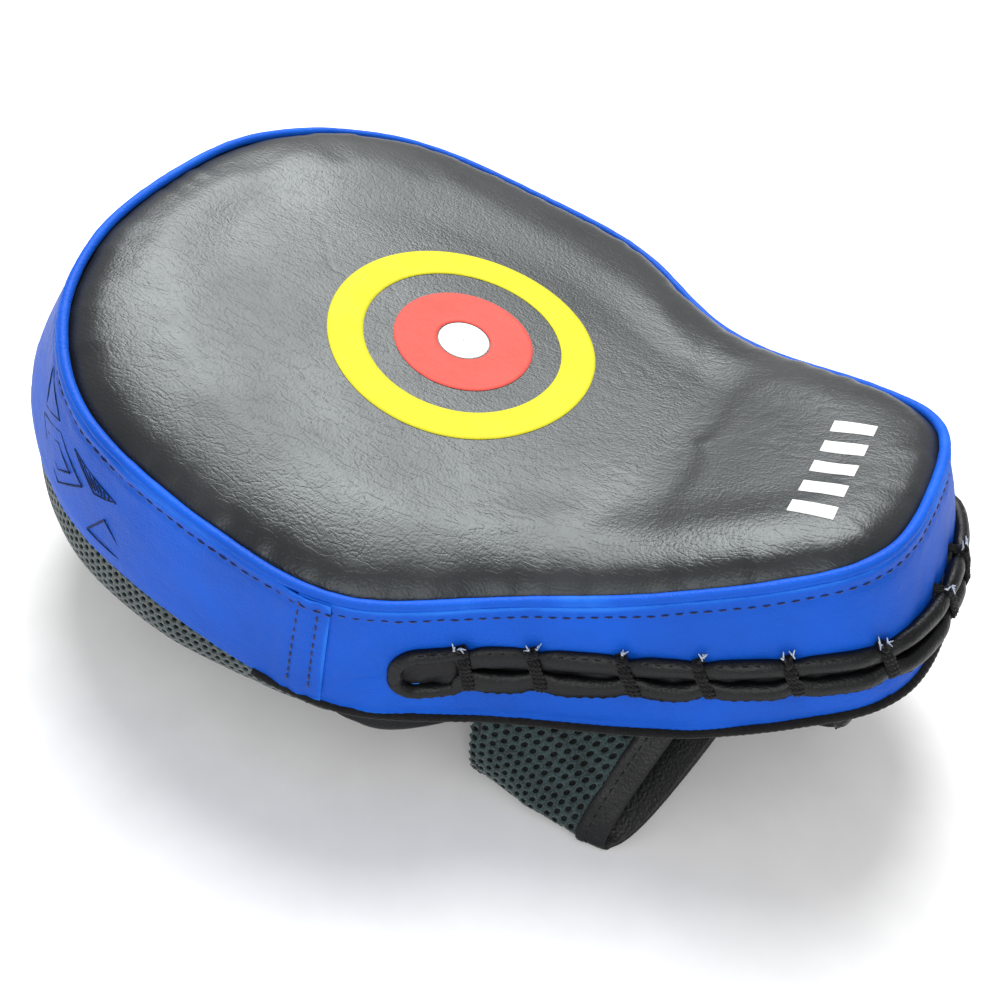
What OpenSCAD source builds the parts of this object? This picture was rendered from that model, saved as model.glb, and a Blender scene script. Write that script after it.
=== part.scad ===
// Curved focus mitt (hand target): a cupped pear-shaped striking pad with a laced side band.
// A finger hood, a palm ball, a thumb hood and a wrist strap hold the hand underneath.
// It lies face up, +X to the wrist end, +Z up, with z = 0 on the surface that it rests on.

/* [Striking pad] */
// Length of the face along its curve
mitt_length = 259; // [249:1:269]
// Half of the width at the widest place
half_width = 100; // [97:1:103]
// Height of the side band at the finger end
finger_thickness = 40; // [39:0.5:42]
// Height of the side band at the wrist end
wrist_thickness = 46; // [45:0.5:48]
// Rise of the padded face above its rim
face_crown = 7; // [4:0.5:9]
// Height of the rim above the resting surface, at the middle of the curve
rim_height = 76; // [75.5:0.5:78]
// Station of the curve that stands over the origin
origin_station = 126.42; // [125:0.01:128]

/* [Coverings] */
// Thickness of the striking face's skin
face_skin = 1.5; // [1:0.1:2]
// Thickness of the side band
band_skin = 1.4; // [1:0.1:1.6]
// Radius of the rolled piping around the rim
piping_radius = 1.7; // [1.4:0.1:1.9]
// Radius of the roll that binds the laced slit
lip_radius = 3; // [2.5:0.1:3.2]
// Thickness of the spacer mesh
mesh_thickness = 2.4; // [2:0.1:2.8]

/* [Target print] */
// Outer radius of the target
target_radius = 41.8; // [38:0.1:44]
// Station of the target's centre
target_station = 111; // [105:1:120]

/* [Hand side] */
// Radius of the palm ball
ball_radius = 31; // [26:1:32]
// Depth of the palm ball
ball_depth = 24; // [18:1:24]
// Width of the wrist strap
strap_width = 36; // [30:1:36]
// Inner radius of the wrist strap's arch
strap_radius = 30; // [28:0.5:30]
// Thickness of the wrist strap
strap_thickness = 2; // [1.5:0.1:2]

/* [Hidden] */

// Half of the pear-shaped outline at its design size: station along the curve, half width.
DESIGN_LENGTH = 259;
MIDDLE_STATION = 127.5;          // where the height of the rim is set
DESIGN_HALF_WIDTH = 100;
OUTLINE = [
    [0, 0], [4, 38], [20, 70], [49, 92], [96, 100], [135, 97], [176, 71], [230.5, 48], [254, 29.5], [259, 0]
];
// Slope of the curve in degrees at stations of the design length.
SLOPE = [[0, -26], [35, -16], [75, -13], [125, -9], [165, 1], [205, 19], [259, 19]];
// How far the side band leans out at its lower edge: station, distance.
FLARE = [[0, 4.9], [127, 0.9], [259, 1]];

length_scale = mitt_length / DESIGN_LENGTH;
width_scale = half_width / DESIGN_HALF_WIDTH;
TIP = len(OUTLINE) - 1;          // outline parameter of the wrist tip; the finger tip is 0
CORNERS = 2 * TIP;               // corners of the whole closed outline
SEAM = 4.93;                     // outline parameter of the seam between the two bands
SLIT_START = 5.32;               // outline parameter where the laced slit starts
gap = 0.2;                       // clearance between neighbouring layers
lining = 1;                      // thickness of the cloth lining behind the slit
foam_gap = 0.8;                  // clearance between the coverings and the foam inside them
foam_inset = band_skin + lining + foam_gap;
overrun = 5;                     // how far a cutter reaches past what it cuts

// Depths below the rim: [share of the local thickness, added distance].
BACK = [1, 0];
FOAM_TOP = [0, 2];
FOAM_BASE = [0, 22];
CORE_BASE = [0, 31];
BOARD_BASE = [0, 33];
PANEL_TOP = [1, -1.5];

// ---- the bent frame that every covering follows ----

function slope(s) = lookup(s / length_scale, SLOPE);
function thickness(s) = finger_thickness + (wrist_thickness - finger_thickness) * s / mitt_length;
function flare(s) = lookup(s / length_scale, FLARE);

// The rim's mid line, walked in short steps from just before the finger tip to past the wrist tip.
walk_step = 2.5;
walk_margin = 15;
walk_count = ceil((mitt_length + 2 * walk_margin) / walk_step);
WALK = [
    for (i = 0, x = 0, z = 0; i <= walk_count;
         i = i + 1,
         middle = slope((i - 0.5) * walk_step - walk_margin),
         x = x + walk_step * cos(middle),
         z = z + walk_step * sin(middle))
    [i * walk_step - walk_margin, x, z]
];
WALK_X = [for (w = WALK) [w[0], w[1]]];
WALK_Z = [for (w = WALK) [w[0], w[2]]];
origin_x = lookup(origin_station, WALK_X);
middle_z = lookup(MIDDLE_STATION * length_scale, WALK_Z);

// A point at station s, y across and h above the rim, square to the curve.
function bent(s, y, h) = [
    lookup(s, WALK_X) - origin_x - sin(slope(s)) * h,
    y,
    lookup(s, WALK_Z) - middle_z + cos(slope(s)) * h + rim_height
];

// ---- the outline ----

function corner(i) =
    let (k = (i + CORNERS) % CORNERS, m = k <= TIP ? k : CORNERS - k, side = k <= TIP ? 1 : -1)
    [OUTLINE[m][0] * length_scale, side * OUTLINE[m][1] * width_scale];

function smooth_curve(a, b, c, d, t) =
    0.5 * (2 * b + (c - a) * t + (2 * a - 5 * b + 4 * c - d) * t * t + (3 * b - a - 3 * c + d) * t * t * t);

// q runs from the finger tip (0) by +Y to the wrist tip (TIP) and back by -Y.
function outline(q) =
    let (i = floor(q))
    smooth_curve(corner(i - 1), corner(i), corner(i + 1), corner(i + 2), q - i);

function normal(q) =
    let (t = outline(q + 0.01) - outline(q - 0.01))
    [-t[1], t[0]] / norm(t);

function range_of(from, to, count) = [for (i = [0:count]) from + (to - from) * i / count];

// A point of the side wall: q along the outline, out from it, a share of the thickness down.
function wall(q, out, share, drop = 0) =
    let (p = outline(q), n = normal(q), w = flare(p[0]) * share + out)
    bent(p[0] + n[0] * w, p[1] + n[1] * w, -thickness(p[0]) * share - drop);

widths = [for (q = range_of(0, TIP, 54)) [outline(q)[0], outline(q)[1]]];
function width_at(s) = lookup(s, widths);

// Crown of the face above its rim.
function crown(s, u) =
    face_crown * (1 - pow(u, 4)) * (1 - pow(min(1, abs(2 * s / mitt_length - 1)), 6));
function on_face(s, y, h) = bent(s, y, h + crown(s, y / width_at(s)));

// ---- solids from rings of points ----

function signed_volume(points, faces) =
    [for (f = faces) points[f[0]] * cross(points[f[1]], points[f[2]])] * [for (f = faces) 1];

// A solid from triangles that all wind one way, turned so that they face outward.
module solid(points, faces) {
    inside_out = signed_volume(points, faces) > 0;
    polyhedron(points, inside_out ? [for (f = faces) [f[0], f[2], f[1]]] : faces, convexity = 8);
}

// Skin through rings of equal length; closed runs the last ring back to the first. Each end is
// capped with strips from the first half of its ring to the second.
module skin(rings, closed = false) {
    n = len(rings[0]);
    m = len(rings);
    sides = [
        for (i = [0:m - (closed ? 1 : 2)], j = [0:n - 1])
        let (a = i * n + j, b = i * n + (j + 1) % n, k = (i + 1) % m, c = k * n + (j + 1) % n, d = k * n + j)
        each [[a, b, c], [a, c, d]]
    ];
    top = (m - 1) * n;
    caps = closed ? [] : [
        for (a = [0:ceil(n / 2) - 2])
        let (b = a + 1, c = n - 2 - a, d = n - 1 - a)
        each concat(
            [[a, d, c], [top + a, top + c, top + d]],
            b == c ? [] : [[a, c, b], [top + a, top + b, top + c]]
        )
    ];
    solid([for (r = rings) each r], concat(sides, caps));
}

// ---- layers of the pad ----

ACROSS = [-1, -0.9, -0.7, -0.4, 0, 0.4, 0.7, 0.9, 1];
LAYER_STATIONS = range_of(0.25, TIP - 0.25, 34);

function deep(depth, s) = depth[0] * thickness(s) + depth[1];

function layer_point(q, u, inset, depth, crowned) =
    let (
        p = outline(q),
        n = normal(q),
        d = deep(depth, p[0]),
        w = flare(p[0]) * d / thickness(p[0]) - inset,
        s = p[0] + n[0] * w
    )
    bent(s, u * (p[1] + n[1] * w), (crowned ? crown(s, u) : 0) - d);

// A layer between two depths; a crowned one needs more points across than a flat one.
module layer(inset, top, base, crowned_top = false, crowned_base = false) {
    across = crowned_top ? ACROSS : [-1, 1];
    skin([
        for (q = LAYER_STATIONS) concat(
            [for (u = across) layer_point(q, u, inset, top, crowned_top)],
            [for (u = across) layer_point(q, -u, inset, base, crowned_base)]
        )
    ]);
}

module strike_face() {
    color("#17181b") layer(2 * piping_radius + gap, [0, -0.5], [0, face_skin - 0.5], true, true);
}

module shock_foam() {
    color("#d8d2c0") layer(foam_inset, FOAM_TOP, FOAM_BASE, crowned_top = true);
}

module core_foam() {
    color("#54575c") layer(foam_inset, FOAM_BASE + [0, gap], CORE_BASE);
}

module stiffener_board() {
    color("#e9e7df") layer(foam_inset, CORE_BASE + [0, gap], BOARD_BASE);
}

module palm_foam() {
    color("#c9c3b2") layer(foam_inset, BOARD_BASE + [0, gap], PANEL_TOP - [0, gap]);
}

module back_panel() {
    color("#1b1c1f") layer(band_skin + gap, PANEL_TOP, BACK);
}

// ---- prints on the face ----

print_lift = 0.7;                // above the face's own surface
print_thickness = 0.4;
disc_inner = 0.2 * target_radius;
disc_outer = 0.52 * target_radius;
ring_inner = 0.74 * target_radius;
centre_radius = 0.19 * target_radius;

function turn(steps) = [for (i = [0:steps - 1]) 360 * i / steps];

module print_ring(inner, outer) {
    skin([
        for (a = turn(48)) [
            for (corner = [[inner, 0], [outer, 0], [outer, 1], [inner, 1]])
            on_face(target_station + corner[0] * cos(a), corner[0] * sin(a),
                    print_lift + print_thickness * corner[1])
        ]
    ], closed = true);
}

module target_ring() {
    color("#f5e400") print_ring(ring_inner, target_radius);
}

module target_disc() {
    color("#e2544c") print_ring(disc_inner, disc_outer);
}

module target_centre() {
    color("white") skin([
        for (k = [0, 1]) [
            for (a = turn(24))
            on_face(target_station + centre_radius * cos(a), centre_radius * sin(a),
                    print_lift + print_thickness * k)
        ]
    ]);
}

// A row of plain bars across the wrist end of the face.
module wrist_bars() {
    bar_count = 5;
    bar_pitch = 9.4;
    bar_wide = 5;
    bar_offset = -3.5;           // the row sits this far off the middle
    bar_from = mitt_length - 32;
    bar_to = mitt_length - 20;
    color("white") for (i = [0:bar_count - 1]) {
        y = (i - (bar_count - 1) / 2) * bar_pitch + bar_offset;
        skin([
            for (s = [bar_from, (bar_from + bar_to) / 2, bar_to]) [
                for (corner = [[-1, 0], [1, 0], [1, 1], [-1, 1]])
                on_face(s, y + corner[0] * bar_wide / 2, print_lift + print_thickness * corner[1])
            ]
        ]);
    }
}

// ---- side band ----

band_top = piping_radius + gap;

// The side wall from just under the piping to the back, along part of the outline.
module strip(stations) {
    skin([
        for (q = stations) [
            wall(q, 0, 0, band_top), wall(q, 0, 1), wall(q, -band_skin, 1), wall(q, -band_skin, 0, band_top)
        ]
    ]);
}

module finger_band() {
    color("#1f5fd6") strip(range_of(-SEAM, SEAM, 40));
}

// Middle of the slit as a share of the thickness, and half of its width, both by station.
SLIT_MIDDLE = [[147, 0.58], [165, 0.54], [195, 0.56], [232, 0.64], [259, 0.7]];
SLIT_HALF = [[147, 6], [176, 5.2], [210, 3.6], [259, 3.3]];
slit_end_round = 6;
slit_steps = 54;
cut_reach = 0.08;                // the band is cut past the slit's ends by this outline parameter
lining_reach = 0.12;             // and the lining behind it reaches this far

// Stations crowd together at both ends, where the slit rounds off; reach lengthens the slit.
function slit_stations(reach = 0) =
    [for (a = range_of(0, 180, slit_steps)) TIP - (TIP - SLIT_START + reach) * cos(a)];
SLIT_STATIONS = slit_stations();

function slit_half(q, reach = 0) =
    let (
        p = outline(q),
        near_end = outline(SLIT_START - reach),
        far_end = outline(CORNERS - SLIT_START + reach),
        from_end = min(norm(p - near_end), norm(p - far_end)),
        short_of_round = max(0, 1 - from_end / slit_end_round)
    )
    lookup(p[0] / length_scale, SLIT_HALF) * sqrt(max(0.01, 1 - pow(short_of_round, 2)));

// A point along the slit: side is -1 on its upper edge, 1 on its lower one; extra widens it.
function slit_edge(q, out, side, extra = 0, reach = 0) =
    let (s = outline(q)[0], middle = lookup(s / length_scale, SLIT_MIDDLE))
    wall(q, out, middle + side * (slit_half(q, reach) + extra) / thickness(s));

// A bar of the slit's own outline between two distances out of the wall.
module slit_bar(outer, inner, extra, reach) {
    skin([
        for (q = slit_stations(reach)) [
            slit_edge(q, outer, -1, extra, reach), slit_edge(q, outer, 1, extra, reach),
            slit_edge(q, inner, 1, extra, reach), slit_edge(q, inner, -1, extra, reach)
        ]
    ]);
}

module wrist_band() {
    color("#1f5fd6") difference() {
        strip(range_of(SEAM + 0.01, CORNERS - SEAM - 0.01, 44));
        slit_bar(overrun, -overrun, lip_radius + 2 * gap, cut_reach);
    }
}

// A round roll along a line of [centre, outward, upward] frames.
module roll(frames, wide, high, sides = 8, closed = true) {
    skin([
        for (f = frames) [
            for (k = [0:sides - 1])
            f[0] + f[1] * wide * cos(360 * k / sides) + f[2] * high * sin(360 * k / sides)
        ]
    ], closed);
}

function outward(q) =
    let (p = outline(q), n = normal(q), a = slope(p[0]))
    [n[0] * cos(a), n[1], n[0] * sin(a)];

function upward(q) = let (a = slope(outline(q)[0])) [-sin(a), 0, cos(a)];

RING_STATIONS = range_of(0, CORNERS - 0.25, 71);

module rim_piping() {
    color("#2f74ee")
    roll([for (q = RING_STATIONS) [wall(q, -piping_radius, 0), outward(q), upward(q)]],
         piping_radius, piping_radius);
}

binding_wide = 1.6;
binding_high = 1.5;
BINDING_START = 4.45;            // outline parameter where the hood's own edge ends

module back_binding() {
    color("#141518")
    roll([
        for (q = range_of(BINDING_START, CORNERS - BINDING_START, 44))
        [wall(q, -binding_wide, 1, binding_high + gap), outward(q), upward(q)]
    ], binding_wide, binding_high, sides = 6, closed = false);
}

// The binding runs out along the slit's upper edge and back along its lower one.
lip_out = 0.4;                   // how far the middle of the roll stands out of the wall
lip_half_depth = 1.6;

module slit_binding() {
    n = len(SLIT_STATIONS);
    turns = concat(
        [for (q = SLIT_STATIONS) [q, -1]],
        [for (i = [n - 1:-1:0]) [SLIT_STATIONS[i], 1]]
    );
    centres = [for (t = turns) slit_edge(t[0], lip_out, t[1])];
    count = len(centres);
    color("#101114")
    roll([
        for (i = [0:count - 1])
        let (
            out = outward(turns[i][0]),
            along = centres[(i + 1) % count] - centres[(i + count - 1) % count],
            aside = cross(out, along)
        )
        [centres[i], out, aside / norm(aside)]
    ], lip_half_depth, lip_radius);
}

module slit_lining() {
    color("#0c0d0f") slit_bar(-band_skin - gap, -band_skin - gap - lining, lip_radius + 2, lining_reach);
}

// Ties that lace the slit shut, from its near end to the wrist tip, and their mirror images.
TIE_PLACES = [5.67, 6, 6.35, 6.63, 7.05, 7.85, 8.75];
tie_radius = 0.9;
tie_reach = 3.5;                 // how far a tie reaches past the slit's edges

module lacing_ties() {
    out = lip_out + lip_half_depth + tie_radius + gap;
    color("#0e0f11") for (place = TIE_PLACES, q = [place, CORNERS - place]) {
        top = slit_edge(q, out, -1, tie_reach);
        base = slit_edge(q, out, 1, tie_reach);
        translate((top + base) / 2)
            rotate([0, -slope(outline(q)[0]), 0])
                cylinder(r = tie_radius, h = norm(top - base), center = true, $fn = 24);
    }
}

// ---- finger hood ----

HOOD_INSET = [[3.7, 0.9], [4.3, 4.2]];  // at the band's edge, and inside the back binding further on
hood_power = 2.8;                // roundness of the hood: 2 is an ellipsoid, more is boxier
hood_bulge = 12.5;                 // how far the fingertips push the mesh out below the band
hood_mouth_station = 131;
hood_hem = 9;                    // width of the bound edge at the mouth
hood_hem_extra = 0.8;            // the hem is thicker than the mesh by this
hood_sink = 0.8;                 // the full dome's depth below the surface; cut off flat there
hood_ring_end = 5.1;             // outline parameter a little past the mouth, where it is cut off
HOOD_RING = range_of(-hood_ring_end, hood_ring_end, 36);
HOOD_LEVELS = [0, 14, 28, 42, 54, 65, 75, 83, 88];

function on_back(s, y, drop) = bent(s, y, -thickness(s) - drop);
hood_mouth_x = on_back(hood_mouth_station, 0, 0)[0];
hood_centre_x = hood_mouth_x + 6;

// A ring of the dome: the back's own outline drawn in towards the mouth as it goes down.
function hood_ring(level, inward, floor_z) =
    let (share = pow(cos(level), 2 / hood_power), down = pow(sin(level), 2 / hood_power))
    [
        for (q = HOOD_RING)
        let (
            edge = wall(q, -lookup(abs(q), HOOD_INSET) - inward, 1, gap),
            reach = [edge[0] - hood_centre_x, edge[1]],
            forward = max(0, -reach[0]) / norm(reach),
            out = share + hood_bulge * pow(forward, 1.5) * sin(2 * level) / norm(reach)
        )
        [hood_centre_x + reach[0] * out, reach[1] * out, edge[2] + (floor_z - edge[2]) * down]
    ];

// The closed dome, whose top follows the back of the pad, or stands up from it by lift.
module hood_dome(inward, lift, floor_z) {
    levels = [for (level = HOOD_LEVELS) hood_ring(level, inward, floor_z)];
    skin(lift == 0 ? levels : concat([[for (p = levels[0]) p + [0, 0, lift]]], levels));
}

// The hood's wall between two places along X.
module hood_wall(from_x, to_x, wall_thickness, outside) {
    reach = 2 * mitt_length;
    difference() {
        hood_dome(-outside, 0, -hood_sink);
        hood_dome(wall_thickness - outside, overrun, wall_thickness);
        translate([to_x, -reach / 2, -reach / 2]) cube(reach);
        translate([from_x - reach, -reach / 2, -reach / 2]) cube(reach);
        translate([-reach / 2, -reach / 2, -reach]) cube(reach);
    }
}

module finger_hood_mesh() {
    color("#2e3b38") hood_wall(-mitt_length, hood_mouth_x - hood_hem - gap, mesh_thickness, 0);
}

module finger_hood_hem() {
    color("#141518") hood_wall(hood_mouth_x - hood_hem, hood_mouth_x, mesh_thickness + hood_hem_extra, 0);
}

// A frame on the back of the pad: x along the curve, z up into the pad.
module back_frame(station) {
    translate(on_back(station, 0, gap)) rotate([0, -slope(station), 0]) children();
}

// ---- palm ball ----

ball_station = 158;
ball_cover = 1.5;
ball_sphere = (ball_radius * ball_radius + ball_depth * ball_depth) / (2 * ball_depth);

// A cap of a sphere that hangs from the back, shrunk by an inset.
module ball_cap(inset) {
    rotate_extrude($fn = 96) intersection() {
        translate([0, ball_sphere - ball_depth]) circle(r = ball_sphere - inset, $fn = 96);
        translate([0, -ball_depth]) square([ball_radius, ball_depth]);
    }
}

module palm_ball_cover() {
    color("#1b1c1f") back_frame(ball_station) difference() {
        ball_cap(0);
        ball_cap(ball_cover);
    }
}

module palm_ball_filling() {
    color("#cdc7b6") back_frame(ball_station) ball_cap(ball_cover + gap);
}

// ---- thumb side ----

fold_power = 3;                  // roundness of a fold: 2 is elliptical, more is boxier
FOLD_ANGLES = range_of(0, 180, 12);

function power_of(x, p) = sign(x) * pow(abs(x), 2 / p);

// A U that hangs from a near and a far point down to a fold; grow thickens it outward.
function fold_row(near, far, fold, grow = 0) =
    let (
        middle = (near + far) / 2,
        half = near - middle,
        drop = fold - middle,
        half_grown = half * (1 + grow / norm(half)),
        drop_grown = drop * (1 + grow / norm(drop))
    )
    [
        for (a = FOLD_ANGLES)
        middle + half_grown * power_of(cos(a), fold_power) + drop_grown * power_of(sin(a), fold_power)
    ];

// The padded web between the finger hood and the thumb hood.
web_from = 133;
web_to = 159;
web_depth = 12;
web_width = 22;
web_inset = 5.5;                 // clear of the back binding

module thumb_web_pad() {
    color("#141518") skin([
        for (v = range_of(0, 1, 10))
        let (
            s = web_from + (web_to - web_from) * v,
            y = -width_at(s) + web_inset,
            depth = web_depth * pow(sin(20 + 140 * v), 0.7)
        )
        fold_row(on_back(s, y, gap), on_back(s, y + web_width, gap), on_back(s, y + 3, gap + depth))
    ]);
}

// The thumb hood's edge lines: where its near and far walls are sewn on, and its fold.
THUMB_NEAR = [[0, 165, -73], [1, 205, -53.5]];           // place, station, y
THUMB_FAR = [[0, 164, -42], [1, 217, -42]];              // place, station, y
THUMB_FOLD = [[0, 43, -71], [0.4, 59.5, -77.5], [0.8, 77.5, -80], [1, 86, -79.5]];  // place, x, y
thumb_fold_height = 1.2;
thumb_binding_from = 0.84;       // where the binding of the mouth starts, as a share of the hood
thumb_binding_extra = 0.8;
thumb_end_from = -0.06;          // the closed end caps the hood from here to its start

function along(table, v) =
    let (start = table[0], last = table[len(table) - 1], before = min(v, 0) * (last[1] - start[1]))
    [
        lookup(v, [for (t = table) [t[0], t[1]]]) + before,
        lookup(v, [for (t = table) [t[0], t[2]]])
    ];

function thumb_row(v, grow) =
    let (near = along(THUMB_NEAR, v), far = along(THUMB_FAR, v), fold = along(THUMB_FOLD, v))
    fold_row(
        on_back(near[0], near[1], gap), on_back(far[0], far[1], gap),
        [fold[0], fold[1], thumb_fold_height], grow
    );

// The hood's wall from one share of its length to another.
module thumb_wall(from, to, grow, wall_thickness) {
    last = len(FOLD_ANGLES) - 1;
    skin([
        for (v = range_of(from, to, 8))
        let (outer = thumb_row(v, grow), inner = thumb_row(v, grow - wall_thickness))
        concat(outer, [for (j = [last:-1:0]) inner[j]])
    ]);
}

module thumb_hood_mesh() {
    color("#2e3b38") thumb_wall(0, thumb_binding_from - 0.01, 0, mesh_thickness);
}

module thumb_hood_end() {
    color("#141518") skin([for (v = [thumb_end_from, -0.01]) thumb_row(v, 0)]);
}

module thumb_hood_binding() {
    color("#101114")
    thumb_wall(thumb_binding_from, 1, thumb_binding_extra, mesh_thickness + thumb_binding_extra);
}

// ---- wrist strap ----

strap_station = 218;
patch_thickness = 1;
strap_clearance = 0.3;           // between the loops and the hooks
flap_radius = strap_radius + strap_thickness + 2 * patch_thickness + strap_clearance;
flap_middle = flap_radius + strap_thickness / 2;
hinge_drop = 2.9;                // the flap's fold line below the back
flap_angle = acos(hinge_drop / flap_middle);
patch_from = -45;                // the patches' ends, in degrees from straight down
patch_to = 20;
tab_width = 12;
tab_thickness = 1.3;
tab_drop = 0.5;                  // clears the back, which tilts a little against the strap

// Part of a ring around the wrist, from one angle to another; 0 is straight down, 90 is +Y.
module strap_arc(radius, thick, width, from, to) {
    back_frame(strap_station) rotate([0, 90, 0]) rotate([0, 0, from])
        rotate_extrude(angle = to - from, $fn = 96)
            translate([radius, -width / 2]) square([thick, width]);
}

module strap_anchor() {
    color("#17181b") strap_arc(strap_radius, strap_thickness, strap_width, -89, patch_to);
}

module strap_loop_patch() {
    color("#0d0e10")
    strap_arc(strap_radius + strap_thickness, patch_thickness, strap_width - 4, patch_from, patch_to);
}

module strap_flap() {
    color("#17181b") strap_arc(flap_radius, strap_thickness, strap_width, patch_from, flap_angle);
}

module strap_hook_patch() {
    color("#0d0e10")
    strap_arc(flap_radius - patch_thickness, patch_thickness, strap_width - 4, patch_from, patch_to);
}

// The sewn end of the flap, flat against the back.
module strap_seam_tab() {
    color("#17181b") back_frame(strap_station)
        translate([-strap_width / 2, flap_middle + strap_thickness - tab_width, -tab_thickness - tab_drop])
            cube([strap_width, tab_width, tab_thickness]);
}

strike_face();
target_ring();
target_disc();
target_centre();
wrist_bars();
shock_foam();
core_foam();
stiffener_board();
palm_foam();
back_panel();
finger_band();
wrist_band();
rim_piping();
back_binding();
slit_binding();
slit_lining();
lacing_ties();
finger_hood_mesh();
finger_hood_hem();
palm_ball_cover();
palm_ball_filling();
thumb_web_pad();
thumb_hood_end();
thumb_hood_mesh();
thumb_hood_binding();
strap_anchor();
strap_loop_patch();
strap_seam_tab();
strap_flap();
strap_hook_patch();
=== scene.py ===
import bmesh
import bpy
import numpy as np
from mathutils import Matrix, Vector
from mathutils.bvhtree import BVHTree


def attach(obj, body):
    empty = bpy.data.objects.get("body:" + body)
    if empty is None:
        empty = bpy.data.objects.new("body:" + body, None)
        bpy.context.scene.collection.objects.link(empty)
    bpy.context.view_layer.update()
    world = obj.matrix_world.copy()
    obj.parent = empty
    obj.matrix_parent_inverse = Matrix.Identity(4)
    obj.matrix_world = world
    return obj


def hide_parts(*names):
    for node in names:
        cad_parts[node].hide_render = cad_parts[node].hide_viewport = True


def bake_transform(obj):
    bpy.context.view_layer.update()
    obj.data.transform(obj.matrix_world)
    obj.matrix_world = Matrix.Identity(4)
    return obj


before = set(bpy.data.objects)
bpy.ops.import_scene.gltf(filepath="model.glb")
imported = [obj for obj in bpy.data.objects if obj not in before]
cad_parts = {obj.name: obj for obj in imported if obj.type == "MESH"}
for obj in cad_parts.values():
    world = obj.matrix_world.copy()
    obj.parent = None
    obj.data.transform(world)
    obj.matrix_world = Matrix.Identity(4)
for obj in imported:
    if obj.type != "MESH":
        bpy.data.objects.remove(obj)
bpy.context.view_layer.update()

MM = 0.001

# ---- the mitt's shape, as in the part's source, in millimetres ----

LENGTH = 259.0
FINGER_THICKNESS = 40.0
WRIST_THICKNESS = 46.0
FACE_CROWN = 7.0
RIM_HEIGHT = 76.0
ORIGIN_STATION = 126.42
MIDDLE_STATION = 127.5           # where the height of the rim is set
PIPING = 1.7
GAP = 0.2
MESH = 2.4
TARGET_RADIUS = 41.8
TARGET_STATION = 111.0
TARGET_SIDE = 2.5                # how far the target sits to the far side of the middle line
OUTLINE = np.array([
    (0, 0), (4, 38), (20, 70), (49, 92), (96, 100), (135, 97), (176, 71), (230.5, 48), (254, 29.5), (259, 0)
], float)
SLOPE = np.array([(0, -26), (35, -16), (75, -13), (125, -9), (165, 1), (205, 19), (259, 19)], float)
FLARE = np.array([(0, 4.9), (127, 0.9), (259, 1)])
SLIT_MIDDLE = np.array([(147, 0.58), (165, 0.54), (195, 0.56), (232, 0.64), (259, 0.7)])
SLIT_HALF = np.array([(147, 6), (176, 5.2), (210, 3.6), (259, 3.3)])
TIP = len(OUTLINE) - 1           # outline parameter of the wrist tip; the finger tip is 0
CORNERS = 2 * TIP
SEAM = 4.93                      # outline parameter of the seam between the two bands
SLIT_START = 5.32
TIES = [5.67, 6, 6.35, 6.63, 7.05, 7.85, 8.75]
ALL_TIES = TIES + [CORNERS - q for q in TIES]


def looked_up(table, s):
    return np.interp(s, table[:, 0], table[:, 1])


def power_of(v, power):
    """v to a power, keeping its sign: squares off the cosine and sine of a round section."""
    return np.sign(v) * np.abs(v) ** power


def unit(v):
    return v / np.maximum(np.linalg.norm(v, axis=-1, keepdims=True), 1e-9)


def slope(s):
    return np.radians(looked_up(SLOPE, s))


def thickness(s):
    return FINGER_THICKNESS + (WRIST_THICKNESS - FINGER_THICKNESS) * s / LENGTH


WALK_STEP = 2.5
WALK_S = np.arange(-15, LENGTH + 15 + WALK_STEP, WALK_STEP)
WALK_SLOPE = slope(WALK_S[:-1] + WALK_STEP / 2)
WALK_X = np.concatenate([[0], np.cumsum(WALK_STEP * np.cos(WALK_SLOPE))])
WALK_Z = np.concatenate([[0], np.cumsum(WALK_STEP * np.sin(WALK_SLOPE))])
WALK_X = WALK_X - np.interp(ORIGIN_STATION, WALK_S, WALK_X)
WALK_Z = WALK_Z - np.interp(MIDDLE_STATION, WALK_S, WALK_Z)


def bent(s, y, h):
    """The point at station s, y across and h above the rim, square to the mitt's curve."""
    s, y, h = np.broadcast_arrays(np.asarray(s, float), y, h)
    x = np.interp(s, WALK_S, WALK_X) - np.sin(slope(s)) * h
    z = np.interp(s, WALK_S, WALK_Z) + np.cos(slope(s)) * h + RIM_HEIGHT
    return np.stack([x, y, z], -1)


CORNER_POINTS = np.concatenate([OUTLINE, OUTLINE[-2:0:-1] * (1, -1)])


def outline(q):
    """The pear-shaped outline: q runs from the finger tip by +Y to the wrist tip and back by -Y."""
    q = np.asarray(q, float)
    i = np.floor(q).astype(int)
    t = (q - i)[..., None]
    a, b, c, d = (CORNER_POINTS[(i + k) % CORNERS] for k in (-1, 0, 1, 2))
    return 0.5 * (2 * b + (c - a) * t + (2 * a - 5 * b + 4 * c - d) * t**2 + (3 * b - a - 3 * c + d) * t**3)


def normal(q):
    t = outline(np.asarray(q) + 0.01) - outline(np.asarray(q) - 0.01)
    n = np.stack([-t[..., 1], t[..., 0]], -1)
    return unit(n)


def wall(q, out, depth):
    """A point of the side wall: q along the outline, out from it, depth down from the rim."""
    q, out, depth = np.broadcast_arrays(np.asarray(q, float), out, depth)
    p, n = outline(q), normal(q)
    w = looked_up(FLARE, p[..., 0]) * depth / thickness(p[..., 0]) + out
    return bent(p[..., 0] + n[..., 0] * w, p[..., 1] + n[..., 1] * w, -depth)


def outward(q):
    p, n = outline(q), normal(q)
    a = slope(p[..., 0])
    return np.stack([n[..., 0] * np.cos(a), n[..., 1], n[..., 0] * np.sin(a)], -1)


HALF_TURN = outline(np.linspace(0, TIP, 200))
ARC_Q = np.linspace(-CORNERS, 2 * CORNERS, 6001)
ARC_STEPS = np.linalg.norm(np.diff(outline(ARC_Q), axis=0), axis=1)
ARC = np.concatenate([[0], np.cumsum(ARC_STEPS)])


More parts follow.
